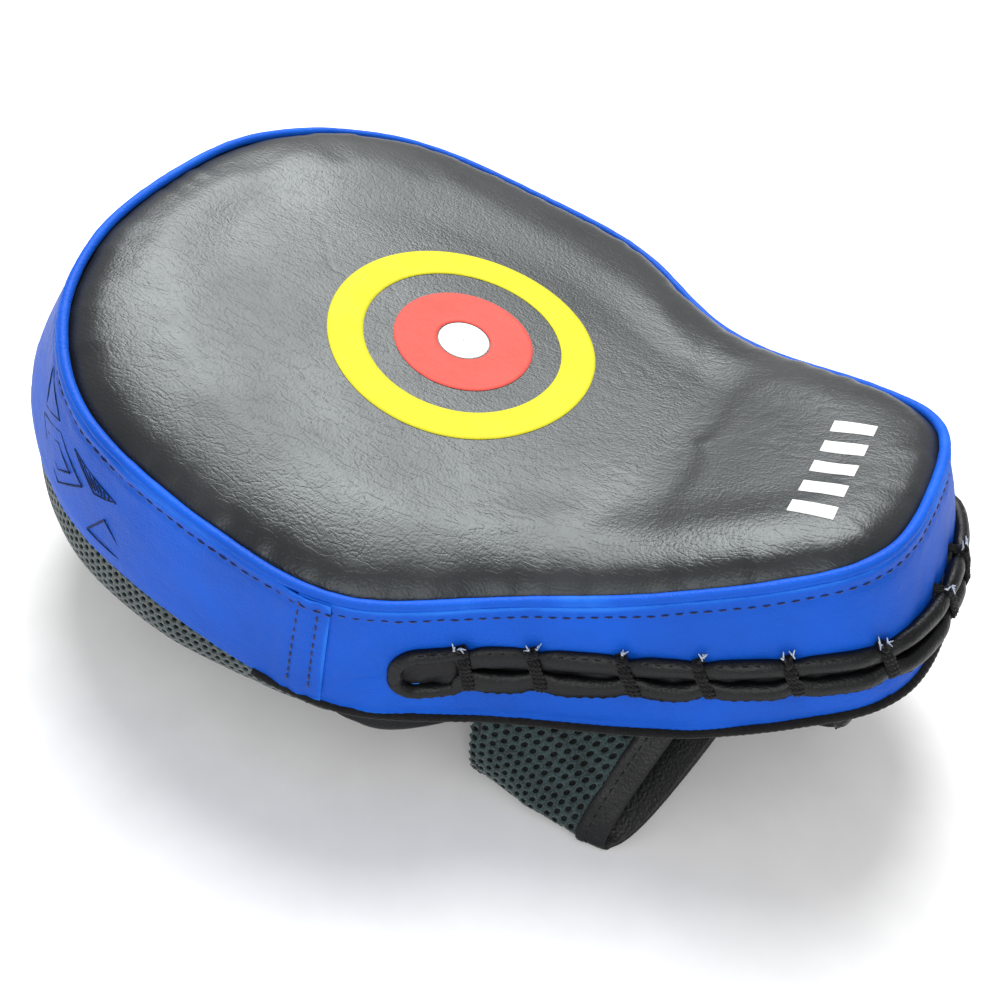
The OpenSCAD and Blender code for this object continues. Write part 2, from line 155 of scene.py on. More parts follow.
def arc(q):
    """Distance along the outline."""
    return np.interp(q, ARC_Q, ARC)


def at_arc(distance):
    """Outline parameter at a distance along the outline."""
    return np.interp(distance, ARC, ARC_Q)


def station(q):
    return outline(q)[..., 0]


def wall_depth(q):
    """Height of the side wall."""
    return thickness(station(q))


def width_at(s):
    return np.interp(s, HALF_TURN[:, 0], HALF_TURN[:, 1])


def crown(s, y):
    u = np.clip(y / np.maximum(width_at(s), 1e-6), -1, 1)
    along = np.minimum(1, np.abs(2 * s / LENGTH - 1))
    return FACE_CROWN * (1 - u**4) * (1 - along**6)


def on_back(s, y, drop):
    return bent(s, y, -thickness(np.asarray(s, float)) - drop)


def back_frame(station, x, y, z):
    """A point of a frame on the mitt's back: x along the curve, z up into the pad."""
    a = slope(station)
    x, y, z = np.broadcast_arrays(np.asarray(x, float), y, z)
    along = np.stack([np.cos(a) * x - np.sin(a) * z, y, np.sin(a) * x + np.cos(a) * z], -1)
    return on_back(station, 0, GAP) + along


# ---- relief: smooth noise, fine wrinkles and creases ----

def noise(x, y, size, seed, stretch=1.0, turn=0.0):
    """Smooth noise from -1 to 1, with bumps about size wide and stretch times as long, turned by turn."""
    table = np.random.default_rng(seed).uniform(-1, 1, (64, 64))
    a = np.radians(turn)
    u = (x * np.cos(a) + y * np.sin(a)) / (size * stretch) + 100
    v = (y * np.cos(a) - x * np.sin(a)) / size + 100
    i, j = np.floor(u).astype(int), np.floor(v).astype(int)
    f, g = u - i, v - j
    f, g = f * f * (3 - 2 * f), g * g * (3 - 2 * g)
    i, j, k, m = i % 64, j % 64, (i + 1) % 64, (j + 1) % 64
    low = table[i, j] * (1 - f) + table[k, j] * f
    high = table[i, m] * (1 - f) + table[k, m] * f
    return low * (1 - g) + high * g


def creases(x, y, size, seed, width=0.1, stretch=1.0, turn=0.0):
    """1 along thin wandering lines, 0 away from them, and only in some places."""
    warp = 0.35 * size * noise(x, y, size * 0.4, seed + 1)
    line = np.exp(-(noise(x + warp, y - warp, size, seed, stretch, turn) / width) ** 2)
    return line * np.clip(0.4 + 1.6 * noise(x, y, size * 1.6, seed + 2), 0, 1)


def bump(x, width):
    return np.exp(-(x / width) ** 2)


def eased(x, low, high):
    t = np.clip((x - low) / (high - low), 0, 1)
    return t * t * (3 - 2 * t)


# ---- meshes ----

def grid_faces(rows, columns, wrap_rows=False, wrap_columns=False):
    i = np.arange(rows - (0 if wrap_rows else 1))
    j = np.arange(columns - (0 if wrap_columns else 1))
    i, j = (a.ravel() for a in np.meshgrid(i, j, indexing="ij"))
    k, m = (i + 1) % rows, (j + 1) % columns
    return np.stack([i * columns + j, k * columns + j, k * columns + m, i * columns + m], -1).tolist()


def merged(parts):
    """One (points, faces) from several."""
    points, faces, count = [], [], 0
    for p, f in parts:
        points.append(p)
        faces.extend([[v + count for v in face] for face in f])
        count += len(p)
    return np.concatenate(points), faces


FLOOR_GAP = 0.02                 # nothing on the mitt reaches lower than this


def piece(name, points, faces, material, body="mitt", replaces=(), slot=None, outside=False):
    """A smooth mesh object that rides on a body; outside turns its faces outward."""
    points = np.array(points, float).reshape(-1, 3)
    if body:
        points[:, 2] = np.maximum(points[:, 2], FLOOR_GAP)
    mesh = bpy.data.meshes.new(name)
    mesh.from_pydata((points * MM).tolist(), [], faces)
    if outside:
        bm = bmesh.new()
        bm.from_mesh(mesh)
        bmesh.ops.recalc_face_normals(bm, faces=bm.faces)
        bm.to_mesh(mesh)
        bm.free()
    mesh.shade_smooth()
    for m in material if isinstance(material, list) else [material]:
        mesh.materials.append(m)
    o = bpy.data.objects.new(name, mesh)
    bpy.context.scene.collection.objects.link(o)
    if body:
        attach(o, body)
    if replaces:
        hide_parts(*replaces)
    return o


def loft(rings, closed=False):
    """(points, faces) of a skin through closed rings, capped unless the last ring runs back to the first."""
    rings = np.asarray(rings)
    m, n = rings.shape[:2]
    faces = grid_faces(m, n, wrap_rows=closed, wrap_columns=True)
    if not closed:
        faces += [list(range(n)), list(range((m - 1) * n, m * n))]
    return rings.reshape(-1, 3), faces


def frames_along(path, up, closed):
    if closed:
        t = np.roll(path, -1, 0) - np.roll(path, 1, 0)
    else:
        t = np.gradient(path, axis=0)
    t = unit(t)
    side = np.cross(t, up)
    side = unit(side)
    return side, np.cross(side, t)


def tube(path, wide, high=None, up=(0.0, 0.0, 1.0), sides=8, closed=False):
    """(points, faces) of a tube along a path, wide across up and high along it."""
    path = np.asarray(path, float)
    wide = np.broadcast_to(np.asarray(wide, float), len(path))
    high = wide if high is None else np.broadcast_to(np.asarray(high, float), len(path))
    side, rise = frames_along(path, np.broadcast_to(up, path.shape), closed)
    a = np.linspace(0, 2 * np.pi, sides, endpoint=False)
    rings = (
        path[:, None]
        + side[:, None] * (wide[:, None] * np.cos(a))[..., None]
        + rise[:, None] * (high[:, None] * np.sin(a))[..., None]
    )
    return loft(rings, closed)


def resampled(path, *others, step):
    """The path, and what goes with it, at even distances of about step."""
    d = np.concatenate([[0], np.cumsum(np.linalg.norm(np.diff(path, axis=0), axis=1))])
    at = np.linspace(0, d[-1], max(2, int(round(d[-1] / step)) + 1))
    return [np.stack([np.interp(at, d, a[:, k]) for k in range(3)], -1) for a in (path, *others)]


def stitches(path, up, pitch=3.6, length=2.8, radius=0.34, lift=0.05):
    """(points, faces) of a row of sunk stitches along a path; up points out of the cloth."""
    fine = 8
    path, up = resampled(path, up, step=pitch / fine)
    run = int(round(fine * length / pitch))
    shape = np.sin(np.linspace(0.12, np.pi - 0.12, run + 1))
    parts = []
    for start in range(0, len(path) - run, fine):
        p, u = path[start:start + run + 1], up[start:start + run + 1]
        sunk = (shape - 1)[:, None] * 0.35 + lift
        parts.append(tube(p + u * sunk, radius * shape**0.35, up=u, sides=6))
    return merged(parts)


def solidify(o, thick, offset=-1.0):
    m = o.modifiers.new("thickness", "SOLIDIFY")
    m.thickness = thick * MM
    m.offset = offset
    m.use_quality_normals = True


def subdivide(o, levels=1):
    m = o.modifiers.new("smooth", "SUBSURF")
    m.levels = levels
    m.render_levels = levels


def coordinates(mesh):
    co = np.zeros(len(mesh.vertices) * 3)
    mesh.vertices.foreach_get("co", co)
    return co.reshape(-1, 3)


def normals_of(mesh):
    n = np.zeros(len(mesh.vertices) * 3)
    mesh.vertices.foreach_get("normal", n)
    return n.reshape(-1, 3)


def move_to(mesh, co):
    mesh.vertices.foreach_set("co", co.ravel())
    mesh.update()


def apply_modifiers(o):
    evaluated = o.evaluated_get(bpy.context.evaluated_depsgraph_get())
    final = bpy.data.meshes.new_from_object(evaluated)
    o.modifiers.clear()
    o.data = final


SIM_FRAMES = 20


def inflate(o, held, pressure=4.0, cap=2.0, shrink=0.004):
    """Fills a closed cover with pressure as a cloth; no point moves further than cap."""
    rest = coordinates(o.data)
    group = o.vertex_groups.new(name="held")
    group.add([int(i) for i in held], 1.0, "REPLACE")
    cloth = o.modifiers.new("cover", "CLOTH")
    s = cloth.settings
    s.quality = 6
    s.use_pressure = True
    s.uniform_pressure_force = pressure
    s.effector_weights.gravity = 0
    s.vertex_group_mass = "held"
    s.shrink_min = shrink
    s.tension_stiffness = 40
    s.compression_stiffness = 40
    s.bending_stiffness = 8
    cloth.point_cache.frame_start = 1
    cloth.point_cache.frame_end = SIM_FRAMES
    scene = bpy.context.scene
    for f in range(1, SIM_FRAMES + 1):
        scene.frame_set(f)
    evaluated = o.evaluated_get(bpy.context.evaluated_depsgraph_get())
    moved = coordinates(evaluated.data) - rest
    far = np.linalg.norm(moved, axis=1, keepdims=True)
    limit = cap * MM
    o.modifiers.clear()
    scene.frame_set(1)
    move_to(o.data, rest + moved * np.tanh(far / limit) * limit / np.maximum(far, 1e-9))
    o.data.shade_smooth()


# ---- materials ----

class Shader:
    """A material with one Principled shader, and short calls for the nodes before it."""

    def __init__(self, name, colour, roughness, **constants):
        self.material = bpy.data.materials.new(name)
        self.material.use_nodes = True
        self.tree = self.material.node_tree
        self.out = self.tree.nodes["Principled BSDF"]
        self.out.inputs["Base Color"].default_value = (*colour, 1)
        self.out.inputs["Roughness"].default_value = roughness
        for key, value in constants.items():
            self.out.inputs[key.replace("_", " ").title().replace("Ior", "IOR")].default_value = value
        self.place = self.add("ShaderNodeTexCoord").outputs["Object"]

    def add(self, kind, **values):
        n = self.tree.nodes.new(kind)
        for key, value in values.items():
            setattr(n, key, value)
        return n

    def feed(self, socket, value):
        if isinstance(value, bpy.types.NodeSocket):
            self.tree.links.new(value, socket)
        else:
            socket.default_value = value

    def stretched(self, scale):
        n = self.add("ShaderNodeMapping")
        self.feed(n.inputs["Vector"], self.place)
        n.inputs["Scale"].default_value = scale
        return n.outputs["Vector"]

    def noise(self, scale, detail=3.0, distortion=0.0, vector=None):
        n = self.add("ShaderNodeTexNoise")
        self.feed(n.inputs["Vector"], vector or self.place)
        n.inputs["Scale"].default_value = scale
        n.inputs["Detail"].default_value = detail
        n.inputs["Distortion"].default_value = distortion
        return n.outputs["Fac"]

    def cells(self, scale, feature="F1"):
        n = self.add("ShaderNodeTexVoronoi", feature=feature)
        self.feed(n.inputs["Vector"], self.place)
        n.inputs["Scale"].default_value = scale
        return n.outputs["Distance"]

    def waves(self, scale, direction, distortion):
        n = self.add("ShaderNodeTexWave", bands_direction=direction)
        self.feed(n.inputs["Vector"], self.place)
        n.inputs["Scale"].default_value = scale
        n.inputs["Distortion"].default_value = distortion
        return n.outputs["Fac"]

    def math(self, operation, a, b=0.0):
        n = self.add("ShaderNodeMath", operation=operation)
        self.feed(n.inputs[0], a)
        self.feed(n.inputs[1], b)
        return n.outputs[0]

    def span(self, value, from_low, from_high, low, high):
        n = self.add("ShaderNodeMapRange")
        for key, v in zip(range(5), (value, from_low, from_high, low, high)):
            self.feed(n.inputs[key], v)
        return n.outputs[0]

    def colour(self, share, *stops):
        """Base colour from a ramp of (place, colour)."""
        ramp = self.add("ShaderNodeValToRGB")
        self.feed(ramp.inputs["Fac"], share)
        points = ramp.color_ramp.elements
        while len(points) < len(stops):
            points.new(0.5)
        for point, (place, rgb) in zip(points, stops):
            point.position = place
            point.color = (*rgb, 1)
        self.tree.links.new(ramp.outputs["Color"], self.out.inputs["Base Color"])

    def roughness(self, value, low, high, from_low=0.3, from_high=0.7):
        self.tree.links.new(self.span(value, from_low, from_high, low, high), self.out.inputs["Roughness"])

    def relief(self, *layers):
        """Bump from (height, distance in millimetres) layers."""
        last = None
        for height, distance in layers:
            n = self.add("ShaderNodeBump")
            n.inputs["Distance"].default_value = distance * MM
            self.feed(n.inputs["Height"], height)
            if last:
                self.tree.links.new(last, n.inputs["Normal"])
            last = n.outputs["Normal"]
        self.tree.links.new(last, self.out.inputs["Normal"])


def grey(v):
    return (v, v, v)


def wrinkle_lines(s, scale, stretch, width=0.05, distortion=0.4):
    """0 along thin wandering lines that run one way, 1 between them."""
    fold = s.noise(scale, 2, distortion, s.stretched(stretch))
    return s.span(s.math("ABSOLUTE", s.math("SUBTRACT", fold, 0.5)), 0.0, width, 0.0, 1.0)


def leather(name, dark, light, rough, grain=1300, wrinkle=0.022, pebbles=0.12, worn=None, shine=0.5,
            cast=(1, 1, 1)):
    """Coated synthetic leather: pebble grain, fine wrinkles, uneven gloss, worn ridges."""
    s = Shader(name, light, rough[0], specular_ior_level=shine)
    s.out.inputs["Specular Tint"].default_value = (*cast, 1)
    line = wrinkle_lines(s, 330, (0.35, 1.0, 1.0))
    cross_line = wrinkle_lines(s, 210, (1.0, 0.6, 1.0), 0.03, 0.8)
    patch = s.noise(28, 3)
    pebble = s.cells(grain, "SMOOTH_F1")
    stops = [(0.3, dark), (0.7, light)]
    if worn:
        edge = s.add("ShaderNodeNewGeometry").outputs["Pointiness"]
        patch = s.math("ADD", patch, s.span(edge, 0.52, 0.6, 0.0, 0.5))
        stops.append((1.0, worn))
    s.colour(patch, *stops)
    s.roughness(patch, *rough)
    s.relief((line, wrinkle), (cross_line, 0.35 * wrinkle), (pebble, pebbles), (s.noise(2600, 2), 0.03))
    return s.material


def print_ink(name, dark, light):
    """Screen print on the leather: flat ink, thinner over the grain and broken along the finest creases."""
    s = Shader(name, light, 0.65, specular_ior_level=0.15)
    line = wrinkle_lines(s, 330, (0.35, 1.0, 1.0))
    share = s.math("MULTIPLY", s.span(line, 0.0, 1.0, 0.9, 1.0), s.span(s.noise(60), 0.2, 0.8, 0.9, 1.0))
    s.colour(share, (0.5, dark), (0.95, light))
    s.roughness(s.noise(90), 0.58, 0.72)
    s.relief((line, 0.03), (s.cells(1300, "SMOOTH_F1"), 0.04))
    return s.material


def yarn(name, dark, light, scale=2400, rough=0.85, sheen=0.25):
    """Knitted or twisted yarn, seen as small bright loops over dark gaps; the dark colour in the gaps is
    painted shade.
    """
    s = Shader(name, light, rough, sheen_weight=sheen, sheen_roughness=0.5, specular_ior_level=0.25)
    loops = s.cells(scale)
    gap_shade_and_tone = s.math("ADD", s.math("MULTIPLY", loops, 0.6), s.math("MULTIPLY", s.noise(120), 0.5))
    # The ramp's dark stop paints shade into the gaps between the loops; the noise adds random tone.
    s.colour(gap_shade_and_tone, (0.25, light), (0.75, dark))
    s.roughness(s.noise(400), rough - 0.08, min(1.0, rough + 0.08))
    s.relief((loops, 0.18), (s.noise(5000, 2), 0.05))
    return s.material


def webbing(name, dark, light, pitch=1.6):
    """Woven tape: ribs across it over finer warp threads, with painted shade in the valleys between the ribs.
    """
    s = Shader(name, light, 0.7, sheen_weight=0.2, specular_ior_level=0.3)
    ribs = s.waves(1000 / pitch / 6.28, "X", 0.3)
    warp = s.waves(1000 / pitch / 3.14, "Y", 0.3)
    weave = s.math("MULTIPLY", ribs, s.span(warp, 0, 1, 0.6, 1.0))
    # The dark stop paints shade between the ribs and threads.
    s.colour(weave, (0.1, dark), (0.9, light))
    s.roughness(s.noise(300), 0.62, 0.8)
    s.relief((weave, 0.25), (s.noise(3000, 2), 0.05))
    return s.material


def foam(name, dark, light, cell=1500):
    s = Shader(name, light, 0.9)
    pores = s.cells(cell)
    # Painted shade: the colour ramp makes the pores darker than the foam between them, plus random tone from
    # the noise.
    s.colour(s.math("ADD", pores, s.span(s.noise(40), 0, 1, -0.1, 0.1)), (0.1, dark), (0.6, light))
    s.roughness(s.noise(200), 0.85, 0.97)
    s.relief((pores, 0.3))
    return s.material


def fibre_board(name):
    s = Shader(name, (0.6, 0.56, 0.47), 0.8)
    grain = s.noise(300, 5, 0.5, s.stretched((0.15, 1.0, 1.0)))
    s.colour(grain, (0.3, (0.5, 0.45, 0.36)), (0.7, (0.7, 0.66, 0.56)))
    s.roughness(grain, 0.7, 0.88)
    s.relief((grain, 0.1))
    return s.material


FACE_PU = leather("face_leather", (0.008, 0.009, 0.010), (0.016, 0.017, 0.019), (0.34, 0.44), wrinkle=0.028,
                  pebbles=0.06, worn=grey(0.022), cast=(0.93, 1.0, 1.0))
BLUE_PU = leather("blue_leather", (0.002, 0.068, 0.44), (0.003, 0.096, 0.60), (0.46, 0.58), grain=1500,
                  wrinkle=0.03, worn=(0.02, 0.20, 0.85), shine=0.18)
TRIM_PU = leather("trim_leather", (0.001, 0.0015, 0.002), (0.003, 0.0035, 0.0045), (0.36, 0.46), grain=1300,
                  wrinkle=0.04, worn=grey(0.008), shine=0.3)
BACK_PU = leather("back_leather", (0.003, 0.003, 0.004), (0.008, 0.0085, 0.010), (0.5, 0.62), grain=800,
                  shine=0.3)
YELLOW = print_ink("yellow_print", (0.48, 0.45, 0.02), (0.66, 0.62, 0.03))
RED = print_ink("red_print", (0.35, 0.07, 0.05), (0.75, 0.10, 0.08))
WHITE = print_ink("white_print", (0.45, 0.46, 0.45), (0.88, 0.88, 0.86))
LINE_INK = print_ink("line_print", (0.004, 0.012, 0.05), (0.006, 0.02, 0.08))
NAVY_THREAD = yarn("navy_thread", (0.002, 0.010, 0.06), (0.006, 0.030, 0.17), 3000, 0.7)
BLACK_THREAD = yarn("black_thread", grey(0.001), (0.005, 0.005, 0.006), 3000, 0.75, 0.08)
WHITE_THREAD = yarn("frayed_ends", (0.35, 0.40, 0.50), (0.70, 0.78, 0.85), 3000, 0.8)
BINDING = yarn("ribbed_binding", grey(0.001), (0.005, 0.005, 0.006), 2000, 0.8, 0.08)
SPACER = yarn("spacer_mesh", (0.010, 0.019, 0.020), (0.042, 0.078, 0.080), 1900, 0.8, 0.35)
# A darker copy of the spacer mesh's colour: painted shade for the hole floors and the inner faces seen
# through the holes.
SPACER_SHADED = yarn("spacer_mesh_painted_shade", (0.001, 0.002, 0.002), (0.009, 0.015, 0.016), 1600, 0.95, 0.05)
STRAP_TAPE = webbing("strap_tape", grey(0.004), (0.018, 0.018, 0.020))
LOOPS = yarn("loop_pile", grey(0.002), grey(0.016), 1300, 0.95, 0.4)
HOOKS = yarn("hook_pile", grey(0.002), grey(0.010), 900, 0.6, 0.0)
SOFT_FOAM = foam("soft_foam", (0.38, 0.33, 0.22), (0.62, 0.58, 0.46))
DENSE_FOAM = foam("dense_foam", (0.04, 0.045, 0.05), (0.10, 0.11, 0.12), 2200)
BOARD = fibre_board("board")


def carry_over():
    """The sealed inner layers keep their CAD shape."""
    inner = {
        "core_foam": DENSE_FOAM, "stiffener_board": BOARD,
        "palm_foam": SOFT_FOAM, "palm_ball_filling": SOFT_FOAM,
    }
    for name, material in inner.items():
        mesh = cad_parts[name].data
        mesh.materials.clear()
        mesh.materials.append(material)


# ---- the striking face ----

FACE_COLUMNS = 162
FACE_RINGS = np.concatenate([[0, 0.012, 0.03, 0.06], np.linspace(0.1, 0.97, 22)])
SPINE = (62.0, 205.0)            # stations between which the rings close in


def far_side(y):
    """1 along the far side of the finger end, where the cover is pulled higher and the piping lower."""
    return eased(y, 25, 60)


def face_base(inset=PIPING + 0.8, lowered=0.0, base_depth=9.0):
    """Points, faces and held points of the pad's top in rings, over a plain underside."""
    q = np.linspace(0, CORNERS, FACE_COLUMNS, endpoint=False)
    edge = outline(q) - normal(q) * inset
    turn = np.minimum(q, CORNERS - q) / TIP
    spine = np.stack([SPINE[0] + (SPINE[1] - SPINE[0]) * turn, np.zeros_like(q)], -1)
    rings = []
    for t in FACE_RINGS:
        overhang = 1.7 * bump(t - 0.022, 0.024)
        p = edge + (spine - edge) * t + normal(q) * overhang
        sunk = -2.4 * (1 - eased(t, 0, 0.045)) - 0.9 * (1 - eased(t, 0, 0.3)) - lowered
        rounded = (2.3 + 0.9 * far_side(edge[:, 1])) * eased(t, 0, 0.075) * (1 - eased(t, 0.12, 0.5))
        rings.append(bent(p[:, 0], p[:, 1], crown(p[:, 0], p[:, 1]) + sunk + rounded))
    base = [bent(p0[:, 0], p0[:, 1], -base_depth) for p0 in (edge, edge + (spine - edge) * 0.97)]
    rows = [base[1], base[0]] + rings
    n = FACE_COLUMNS
    faces = grid_faces(len(rows), n, wrap_columns=True)
    last = (len(rows) - 1) * n
    for a in range(1, n // 2 - 1):
        b, c, d = a + 1, n - a - 1, n - a
        faces.append([last + a, last + b, last + c, last + d])
        faces.append([d, c, b, a])
    faces += [[last, last + 1, last + n - 1], [n - 1, 1, 0]]
    faces += [[last + n // 2 - 1, last + n // 2, last + n // 2 + 1], [n // 2 + 1, n // 2, n // 2 - 1]]
    return np.concatenate(rows), faces, np.arange(3 * n)


def foam_block():
    """The foam under the face, rounded off below the cover's sewn edge."""
    points, faces, _ = face_base(inset=5.5, lowered=2.6, base_depth=22.0)
    piece("shock_foam_block", points, faces, SOFT_FOAM, replaces=["shock_foam"], slot="soft_foam",
          outside=True)


def face_relief(co):
    """How far the cover stands up or sinks at each point, in millimetres."""
    s = np.interp(co[:, 0], WALK_X, WALK_S)
    y = co[:, 1]
    worked = eased(s, 110, 190)      # the wrist half creases more where the pad bends
    long_folds = -0.05 * creases(s, y, 16, 5, 0.07, 2.4, 10)
    bend_folds = -0.07 * worked * creases(s, y, 11, 15, 0.09, 2.6, -12)
    fine = -0.05 * (0.4 + 0.6 * worked) * creases(s, y, 5.5, 25, 0.14, 2.6, 15)
    soft = 0.10 * noise(s, y, 52, 45) + 0.03 * noise(s, y, 15, 55, 1.5, 20)
    room = width_at(s) - np.abs(y)
    at_edge = eased(np.minimum(room, np.minimum(s, LENGTH - s)), 3, 14)
    return (long_folds + bend_folds + fine + soft) * at_edge


def rim_puckers(co):
    """Small gathers where the cover is sewn in under the piping."""
    q = np.linspace(0, CORNERS, 1440, endpoint=False)
    line = wall(q, -PIPING, 0)
    tree = BVHTree.FromPolygons([Vector(p) for p in line], [(i, (i + 1) % 1440, i) for i in range(1440)])
    along, away = np.zeros(len(co)), np.full(len(co), 99.0)
    for i, point in enumerate(co):
        found = tree.find_nearest(Vector(point), 16)
        if found[2] is not None:
            along[i] = arc(q[found[2]])
            away[i] = found[3]
    gathers = noise(along, away * 0, 4.6, 65) * 0.5 + noise(along, away * 0.3, 9.0, 75) * 0.5
    return gathers * bump(away - 4, 5.5) * 0.55


def strike_face():
    points, faces, held = face_base()
    o = piece("face_cover", points, faces, FACE_PU, None, outside=True)
    inflate(o, held, cap=0.35)
    subdivide(o, 2)
    apply_modifiers(o)
    o.data.shade_smooth()
    co = coordinates(o.data) / MM
    n = normals_of(o.data)
    top = n[:, 2] > 0.3
    lift = np.where(top, face_relief(co) + rim_puckers(co), 0)
    move_to(o.data, (co + n * lift[:, None]) * MM)
    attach(o, "mitt")
    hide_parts("strike_face")
    return o


def dropped(surface, s, y, lift):
    """Points (s, y) put down on the top of a surface, and raised by lift."""
    top = bent(s, y, 40.0)
    down = bent(s, y, 0.0) - top
    down = unit(down)
    placed = np.array(top)
    for index in np.ndindex(placed.shape[:-1]):
        hit = surface.ray_cast(Vector(top[index] * MM), Vector(down[index]), 0.08)
        placed[index] = np.array(hit[0]) / MM + np.array(hit[1]) * lift
    return placed


PRINT_LIFT = 0.16
PRINT_SKIN = 0.12
BARS = 5
BAR_PITCH = 9.4
BAR_WIDTH = 5.0
BAR_START = 32.0                 # distances from the wrist tip
BAR_END = 20.0
BAR_SIDE = -3.5                  # how far the row of bars sits from the middle line


def round_print(name, surface, inner, outer, material, node, slot):
    """A printed disc or ring round the target's middle, laid on the face."""
    a = np.linspace(0, 2 * np.pi, 220, endpoint=False)
    r = np.linspace(outer, inner, max(4, int((outer - inner) / 1.1)))
    s = TARGET_STATION + np.outer(np.cos(a), r)
    y = TARGET_SIDE + np.outer(np.sin(a), r)
    top = dropped(surface, s, y, PRINT_LIFT)
    o = piece(name, top, grid_faces(*s.shape, wrap_rows=True), material, replaces=[node], slot=slot)
    solidify(o, PRINT_SKIN)


def face_prints(face):
    surface = BVHTree.FromObject(face, bpy.context.evaluated_depsgraph_get())
    r = TARGET_RADIUS
    round_print("target_ring_print", surface, 0.74 * r, r, YELLOW, "target_ring", "print_yellow")
    round_print("target_disc_print", surface, 0.2 * r, 0.52 * r, RED, "target_disc", "print_red")
    round_print("target_centre_print", surface, 0.004 * r, 0.19 * r, WHITE, "target_centre", "print_white")
    s = np.linspace(LENGTH - BAR_END, LENGTH - BAR_START, 14)
    bars = []
    for i in range(BARS):
        middle = (i - (BARS - 1) / 2) * BAR_PITCH + BAR_SIDE
        y = middle + np.linspace(-BAR_WIDTH / 2, BAR_WIDTH / 2, 6)
        grid = dropped(surface, *np.broadcast_arrays(s[:, None], y[None]), PRINT_LIFT)
        bars.append((grid.reshape(-1, 3), [f[::-1] for f in grid_faces(14, 6)]))
    o = piece("wrist_bars_print", *merged(bars), WHITE, replaces=["wrist_bars"], slot="print_white")
    solidify(o, PRINT_SKIN)


# ---- the slit's measures along the outline ----

def slit_middle(q):
    s = station(q)
    return looked_up(SLIT_MIDDLE, s) * thickness(s)


def slit_half(q):
    """Half of the slit's height, rounded off at both ends."""
    from_end = np.minimum(np.abs(arc(q) - arc(SLIT_START)), np.abs(arc(q) - arc(CORNERS - SLIT_START)))
    short = np.clip(1 - from_end / 6, 0, 1)
    inside = (q >= SLIT_START) & (q <= CORNERS - SLIT_START)
    rounded = np.sqrt(np.maximum(0.01, 1 - short**2))
    return np.where(inside, looked_up(SLIT_HALF, station(q)) * rounded, 0)


def pinch(q, width=3.4):
    """1 at a tie, falling to 0 between ties."""
    q = np.asarray(q, float)
    return np.max([bump(arc(q) - arc(t), width) for t in ALL_TIES], axis=0)


def open_eye(q):
    """1 in the open ends of the slit, before its first ties."""
    a, first, last = arc(q), arc(TIES[0]), arc(CORNERS - TIES[0])
    return np.maximum(1 - eased(a, first - 3, first + 1), eased(a, last - 1, last + 3))


def lip_out(q):
    """How far the lips stand out of the wall: most round the wrist tip, where they bend sharply."""
    return 0.7 + 2.2 * bump(arc(q) - arc(TIP), 24)


def lip_measures(q):
    """Distance of a lip's middle from the slit's middle, its half height, and its half depth."""
    squeeze = pinch(q)
    full = (slit_half(q) + 3) * (1.06 - 0.2 * squeeze)
    slot_half = 0.35 + 0.9 * (1 - squeeze)
    closed_centre, closed_half = (full + slot_half) / 2, (full - slot_half) / 2
    eye = open_eye(q)
    centre = closed_centre * (1 - eye) + (slit_half(q) + 1.7) * eye
    half = closed_half * (1 - eye) + 2.2 * eye
    return centre, half, 2.3 - 0.8 * squeeze


# ---- side bands ----

STITCH_DEPTH = 4.7
BAND_TOP = 0.9                   # depth of the band's upper edge, under the piping


def band_relief(q, depth):
    a = arc(q)
    deep = wall_depth(q)
    belly = np.sin(np.pi * np.clip((depth - STITCH_DEPTH) / (deep - STITCH_DEPTH), 0, 1))
    groove = -0.42 * bump(depth - STITCH_DEPTH, 0.9)
    roll = 0.3 * bump(depth - 2.4, 1.1)
    gathers = 0.22 * noise(a, depth, 4.0, 3, 1.0) * bump(depth - STITCH_DEPTH - 1.5, 3.5)
    folds = 0.3 * noise(a, depth * 0.5, 13, 13) * eased(depth, 8, 16)
    folds = folds - 0.22 * creases(a, depth, 16, 23, 0.12, 1.4, 70)
    fine = -0.09 * creases(a, depth, 6, 33, 0.2, 1.5, 20) + 0.05 * noise(a, depth, 2.2, 43)
    low_edge = -0.5 * bump(depth - deep, 2.2)
    return 0.55 * belly + groove + roll + gathers + folds + fine + low_edge


def slit_pull(q, depth):
    """The wrist band is drawn in round the slit, and gathers at its ties and its ends."""
    beside = np.abs(depth - slit_middle(q)) - slit_half(q) - 3
    near = np.exp(-np.clip(beside, 0, 99) / 3.2)
    inside = eased(arc(q), arc(SLIT_START) - 6, arc(SLIT_START) + 4)
    inside = inside * (1 - eased(arc(q), arc(CORNERS - SLIT_START) - 4, arc(CORNERS - SLIT_START) + 6))
    drawn = -(0.4 + 1.1 * pinch(q, 2.2)) * near * inside
    fans = 0.0
    for end, way in ((SLIT_START, -1), (CORNERS - SLIT_START, 1)):
        x = (arc(q) - arc(end)) * way
        y = depth - slit_middle(end)
        far = np.hypot(x, y)
        angle = np.degrees(np.arctan2(y, np.maximum(x, 0.01)))
        rays = noise(angle, far * 0.3, 15, 53)
        fans = fans + 0.95 * rays * np.exp(-(far / 17) ** 2) * eased(x, -2, 6) * eased(far, 1, 5)
    return drawn + fans


def lower_edge(q):
    """How far the band hangs below the pad; further along the sides of the wrist half."""
    s = station(q)
    return 0.4 + 1.3 * eased(s, 110, 150) * (1 - eased(s, 205, 240))


def band_grid(first, last, extra):
    """Points of a band from one outline parameter to another, about a millimetre apart."""
    columns = int((arc(last) - arc(first)) / 1.15)
    q = at_arc(np.linspace(arc(first), arc(last), columns))[:, None]
    deep = wall_depth(q)
    share = np.linspace(0, 1, 42)[None]
    depth = BAND_TOP + (deep + lower_edge(q) - BAND_TOP) * share
    relief = band_relief(q, depth) + extra(q, depth)
    return wall(q, relief, depth), q, depth


SEAM_UNDER = 4.70                # the wrist band starts here, under the finger band
SEAM_LIFT = 0.95
SEAM_ROWS = (3.2, 8.4)           # distances of the two sewn rows from the lap's edge
LAP = (9, 15)                    # where the lapped end starts and stops rising over the wrist band


